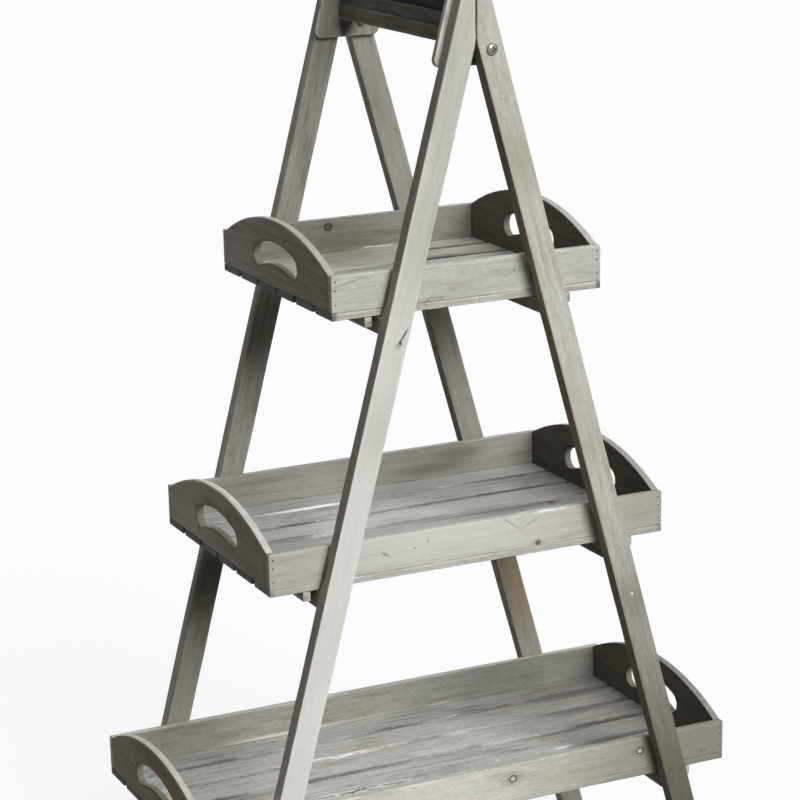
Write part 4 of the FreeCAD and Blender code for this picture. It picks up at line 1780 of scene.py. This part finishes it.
@dataclass
class Tray:
    """One lift-out tray: rails, arched ends, slats, cleats and nails.

    Attributes:
        name: Name of the tray.
        marks: Marks of its boards, by the end of the node's name.
        front_tone: Share of the usual light that its front rail gives back.
        back_tone: Share of the usual light that the inside of its back rail gives back, as painted shade.
        end_tone: Share that the insides of its ends give back, as painted shade.
        arch_tones: Shares that the tops of its left and right ends give back.
        floor_tone: Share that the inside of its front rail gives back, as painted shade.
        clean: Distance from the middle of a side to where the painted shade inside starts.
        slats: Number of slats.
        slat_wear: How the slats have worn.
        cleat: Width of a cleat.
        nail_shares: Heights of the nails, as shares of a rail.
    """

    name: str
    marks: dict[str, tuple[Mark, ...]]
    front_tone: float
    back_tone: float
    end_tone: float
    arch_tones: tuple[float, float]
    floor_tone: float = 0.46
    clean: float = 3.6 * MM
    slats: int = 6
    slat_wear: Wear = Wear(arris=1.2 * MM, unevenness=0.7, spacing=14.0 * MM, hollow=0.4 * MM)
    cleat: float = 9.5 * MM
    nail_shares: tuple[float, ...] = (0.22, 0.6, 0.84)

    @property
    def body(self) -> str:
        """Body that the tray rides on."""
        return f"{self.name}_tray"

    def node(self, piece: str) -> str:
        """Full name of one of the tray's nodes."""
        return f"{self.name}_tray_{piece}"

    def add(self, maker: Maker, board: Plank | EndBoard, slot: str, paint: GreyWash) -> None:
        """Make one board, with its own marks if it has any.

        Args:
            maker: Places the board.
            board: The board.
            slot: Name of its material slot, passed on to the maker.
            paint: Its finish before its own marks.
        """
        own = self.marks.get(board.node.removeprefix(f"{self.body}_"))
        finish = paint.version(board.node, marks=paint.marks + own) if own else paint
        maker.place(board.build(maker.rng()), board.node, self.body, slot, finish)

    def build(self, maker: Maker) -> None:
        """Make the tray's pieces.

        Args:
            maker: Places the pieces.
        """
        rail = SIDE_PAINT.shaded(self.name, self.front_tone)
        # Painted shade: the insides of the front and back rails and of the ends are darker.
        front = rail.version("front", inside=Inside(1, self.clean, self.floor_tone))
        inside = Inside(-1, self.clean, self.back_tone / self.front_tone, BACK_CAST)
        back = rail.version("back", edge_share=0.25, chip_share=0.25, inside=inside)
        for piece, paint in (("front_rail", front), ("back_rail", back)):
            self.add(maker, Plank(self.node(piece), Way.ALONG_TRAY), "tray_side_wood", paint)
        for side, tone in zip(Side, self.arch_tones):
            node = self.node(f"{side.word}_end")
            inside = Inside(-side.value, self.clean, self.end_tone, END_CAST)
            paint = END_PAINT.version(node, edge=toned(END_PAINT.edge, tone), inside=inside)
            self.add(maker, EndBoard(node), "tray_end_wood", paint)
        paints = [FRONT_SLAT_PAINT, *[SLAT_PAINT] * (self.slats - 2), BACK_SLAT_PAINT]
        for number, paint in enumerate(paints, 1):
            slat = Plank(self.node(f"slat_{number}"), Way.ALONG_TRAY, self.slat_wear)
            self.add(maker, slat, "slat_wood", paint.version(self.name, marks=self.slat_ends()))
        maker.place(self.cleats(maker.rng()), self.node("cleats"), self.body, "cleat_wood", CLEAT_PAINT)
        maker.place(self.nails(), self.node("nails"), self.body, "nail_steel", NAIL_STEEL)

    def slat_ends(self) -> tuple[Mark, ...]:
        """Dark end grain under the end boards, on both ends of the slats."""
        ends = (corner.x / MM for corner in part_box(self.node("slat_2")))
        return tuple(Mark(end, 0, 6, 60, (80, 76, 67), 0.75, 0.4) for end in ends)

    def cleats(self, rng: Rng) -> Surface:
        """The two strips under the slats, one at each end of the node's box.

        Args:
            rng: Seeded source of the wear.

        Returns:
            Both strips.
        """
        low, high = (np.array(corner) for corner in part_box(self.node("cleats")))
        inner_high, inner_low = high.copy(), low.copy()
        inner_high[0], inner_low[0] = low[0] + self.cleat, high[0] - self.cleat
        strip = Plank(self.node("cleats"), Way.FRONT_TO_BACK)
        return joined([strip.between(rng, low, inner_high), strip.between(rng, inner_low, high)])

    def nails(self) -> Surface:
        """Nails with low domed heads, through the rails and up through the slats into the end boards.

        Returns:
            All the tray's nails.
        """
        end_low, end_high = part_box(self.node("right_end"))
        rail_low, rail_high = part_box(self.node("back_rail"))
        heights = [rail_low.z + share * (rail_high.z - rail_low.z) for share in self.nail_shares]
        axes = []
        for side in Side:
            x = side.value * (end_low.x + end_high.x) / 2.0
            axes += [((x, depth.value * rail_high.y, height), depth.inwards) for depth in Depth for height in heights]
            for number in range(1, self.slats + 1):
                low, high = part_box(self.node(f"slat_{number}"))
                axes.append(((x, (low.y + high.y) / 2.0, low.z), UP))
        radius = np.array([0.2, 0.7, 1.0, 1.1, 1.1, 0.9, 0.9, 0.1])[:, None] * MM
        rise = np.array([-0.15, -0.12, -0.03, 0.2, 1.0, 1.1, 18.0, 20.0])[:, None] * MM
        return turned(radius * np.ones(NAIL_ROUND), rise, axes)


@dataclass(frozen=True)
class Lamp:
    """Broad distant lamp.

    Attributes:
        name: Name of the lamp.
        towards: Direction from the stand to the lamp.
        strength: Strength of its light.
        angle_deg: Width of the lamp as the stand sees it.
    """

    name: str
    towards: Place
    strength: float
    angle_deg: float


@dataclass
class Studio:
    """Floor, light and camera.

    Attributes:
        eye: Place of the camera.
        yaw_deg: Turn of the view to the right of straight ahead.
        pitch_deg: Tilt of the view below level.
        roll_deg: Turn of the camera about its view.
        focal_px: Focal length in the photograph's pixels.
        axis_px: Place where the view's axis meets the photograph.
        image_px: Width and height of the photograph.
        sensor_mm: Width of the camera's sensor.
        floor_half: Half the width of the floor.
        floor_dull: Colour of the floor in light's own rays.
        floor_pale: Colour of the floor where its shadow is seen.
        floor_glow: Share of plain white in the floor that is seen.
        ambient: Light from all round.
        lamps: The lamps.
        lamp_place: Place of their objects, which doesn't change their light.
    """

    eye: Place = (-1.2975, -2.7069, 1.4557)
    yaw_deg: float = 24.925
    pitch_deg: float = 16.832
    roll_deg: float = 1.2495
    focal_px: float = 2587.5
    axis_px: tuple[float, float] = (382.41, 490.28)
    image_px: float = 800.0
    sensor_mm: float = 36.0
    floor_half: float = 40.0
    floor_dull: Tone = (0.25, 0.25, 0.25, 1.0)
    floor_pale: Tone = (0.97, 0.97, 0.97, 1.0)
    floor_glow: float = 0.88
    ambient: Tone = (0.1, 0.096, 0.09, 1.0)
    lamps: tuple[Lamp, ...] = (
        Lamp("key", (0.14, -1.0, 0.6), 3.5, 30.0),
        Lamp("rear_fill", (0.45, 0.8, 0.34), 1.4, 40.0),
    )
    lamp_place: Place = (0.0, 0.0, 3.0)

    def build(self) -> None:
        """Make the floor, the light and the camera, and set how the picture is shown."""
        self.floor()
        self.world()
        for lamp in self.lamps:
            self.light(lamp)
        self.camera()
        bpy.context.scene.view_settings.view_transform = "Standard"

    def seen(self, wiring: Wiring, lit: Socket, shown: Socket) -> Socket:
        """One shader for rays from the camera, mirrors and glass, and another for light's own rays.

        Args:
            wiring: Tree of the floor or the world.
            lit: Shader for light's own rays.
            shown: Shader of the white studio.

        Returns:
            The shader that holds both.
        """
        path = wiring.node("LightPath").outputs
        direct = wiring.math("MAXIMUM", path["Is Camera Ray"], path["Is Glossy Ray"])
        chosen = wiring.math("MAXIMUM", direct, path["Is Transmission Ray"])
        return wiring.out("MixShader", {0: chosen, 1: lit, 2: shown})

    def floor(self) -> None:
        """Plain pale floor, white where it is seen, that keeps a soft shadow."""
        side = np.array([-self.floor_half, self.floor_half])
        x, y = np.meshgrid(side, side)
        points = np.stack([x, y, np.zeros_like(x)], axis=-1).reshape(-1, 3)
        mesh = bpy.data.meshes.new("floor")
        mesh.from_pydata(points.tolist(), [], [[0, 1, 3, 2]])
        mesh.materials.append(bpy.data.materials.new("pale_floor"))
        wiring = Wiring(mesh.materials[0])
        dull, pale = (wiring.out("BsdfDiffuse", {"Color": tone}) for tone in (self.floor_dull, self.floor_pale))
        white = wiring.out("Emission", {"Color": WHITE, "Strength": 1.0})
        shown = wiring.out("MixShader", {0: self.floor_glow, 1: pale, 2: white})
        wiring.node("OutputMaterial", {"Surface": self.seen(wiring, dull, shown)})
        floor = bpy.data.objects.new("floor", mesh)
        bpy.context.scene.collection.objects.link(floor)

    def world(self) -> None:
        """White backdrop where it is seen, and a low even light elsewhere."""
        bpy.context.scene.world = bpy.data.worlds.new("studio")
        wiring = Wiring(bpy.context.scene.world)
        low, white = (wiring.out("Background", {"Color": tone}) for tone in (self.ambient, WHITE))
        wiring.node("OutputWorld", {"Surface": self.seen(wiring, low, white)})

    def light(self, lamp: Lamp) -> None:
        """Hang one lamp.

        Args:
            lamp: The lamp.
        """
        sun = bpy.data.lights.new(lamp.name, "SUN")
        sun.energy, sun.angle = lamp.strength, math.radians(lamp.angle_deg)
        back = np.array(lamp.towards) / np.linalg.norm(lamp.towards)
        self.aim(bpy.data.objects.new(lamp.name, sun), back, np.array(UP), self.lamp_place)

    def aim(self, made: bpy.types.Object, back: Array, up: Array, place: Place) -> None:
        """Put an object in the scene so that it looks against a direction.

        Args:
            made: The object.
            back: Unit vector opposite to the view.
            up: Vector near the object's own up.
            place: Place of the object.
        """
        right = np.cross(up, back)
        right /= np.linalg.norm(right)
        matrix = np.eye(4)
        matrix[:3] = np.stack([right, np.cross(back, right), back, place], axis=1)
        made.matrix_world = Matrix(matrix.tolist())
        bpy.context.scene.collection.objects.link(made)

    def camera(self) -> None:
        """Camera at the photograph's place, with its view, tilt and framing."""
        yaw, pitch, roll = (math.radians(angle) for angle in (self.yaw_deg, self.pitch_deg, self.roll_deg))
        forward = np.array([math.sin(yaw) * math.cos(pitch), math.cos(yaw) * math.cos(pitch), -math.sin(pitch)])
        right = np.array([math.cos(yaw), -math.sin(yaw), 0.0])
        up = math.cos(roll) * np.cross(right, forward) + math.sin(roll) * right
        lens = bpy.data.cameras.new("photo_camera")
        lens.sensor_width = self.sensor_mm
        lens.lens = self.focal_px * self.sensor_mm / self.image_px
        lens.shift_x = 0.5 - self.axis_px[0] / self.image_px
        lens.shift_y = self.axis_px[1] / self.image_px - 0.5
        made = bpy.data.objects.new("photo_camera", lens)
        self.aim(made, -forward, up, self.eye)
        bpy.context.scene.camera = made


def main() -> None:
    """Load the frame, and build each part of the stand and the studio."""
    logging.basicConfig(level=logging.INFO, format="%(name)s: %(message)s")
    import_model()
    maker = Maker()
    LegFrame(Side.LEFT, "fixed_frame", (FRONT_LEFT_PAINT, REAR_LEFT_PAINT)).build(maker)
    LegFrame(Side.RIGHT, "folding_frame", (FRONT_RIGHT_PAINT, REAR_RIGHT_PAINT)).build(maker)
    Ridge().build(maker)
    Pivots().build(maker)
    for tray in (
        Tray("top", TOP_MARKS, front_tone=0.88, back_tone=0.37, end_tone=0.3, arch_tones=(0.75, 0.76)),
        Tray("middle", MIDDLE_MARKS, front_tone=0.84, back_tone=0.44, end_tone=0.235, arch_tones=(1.05, 0.55)),
        Tray("bottom", BOTTOM_MARKS, front_tone=1.05, back_tone=0.43, end_tone=0.26, arch_tones=(0.92, 0.3)),
    ):
        tray.build(maker)
    Studio().build()


if __name__ == "__main__":
    main()
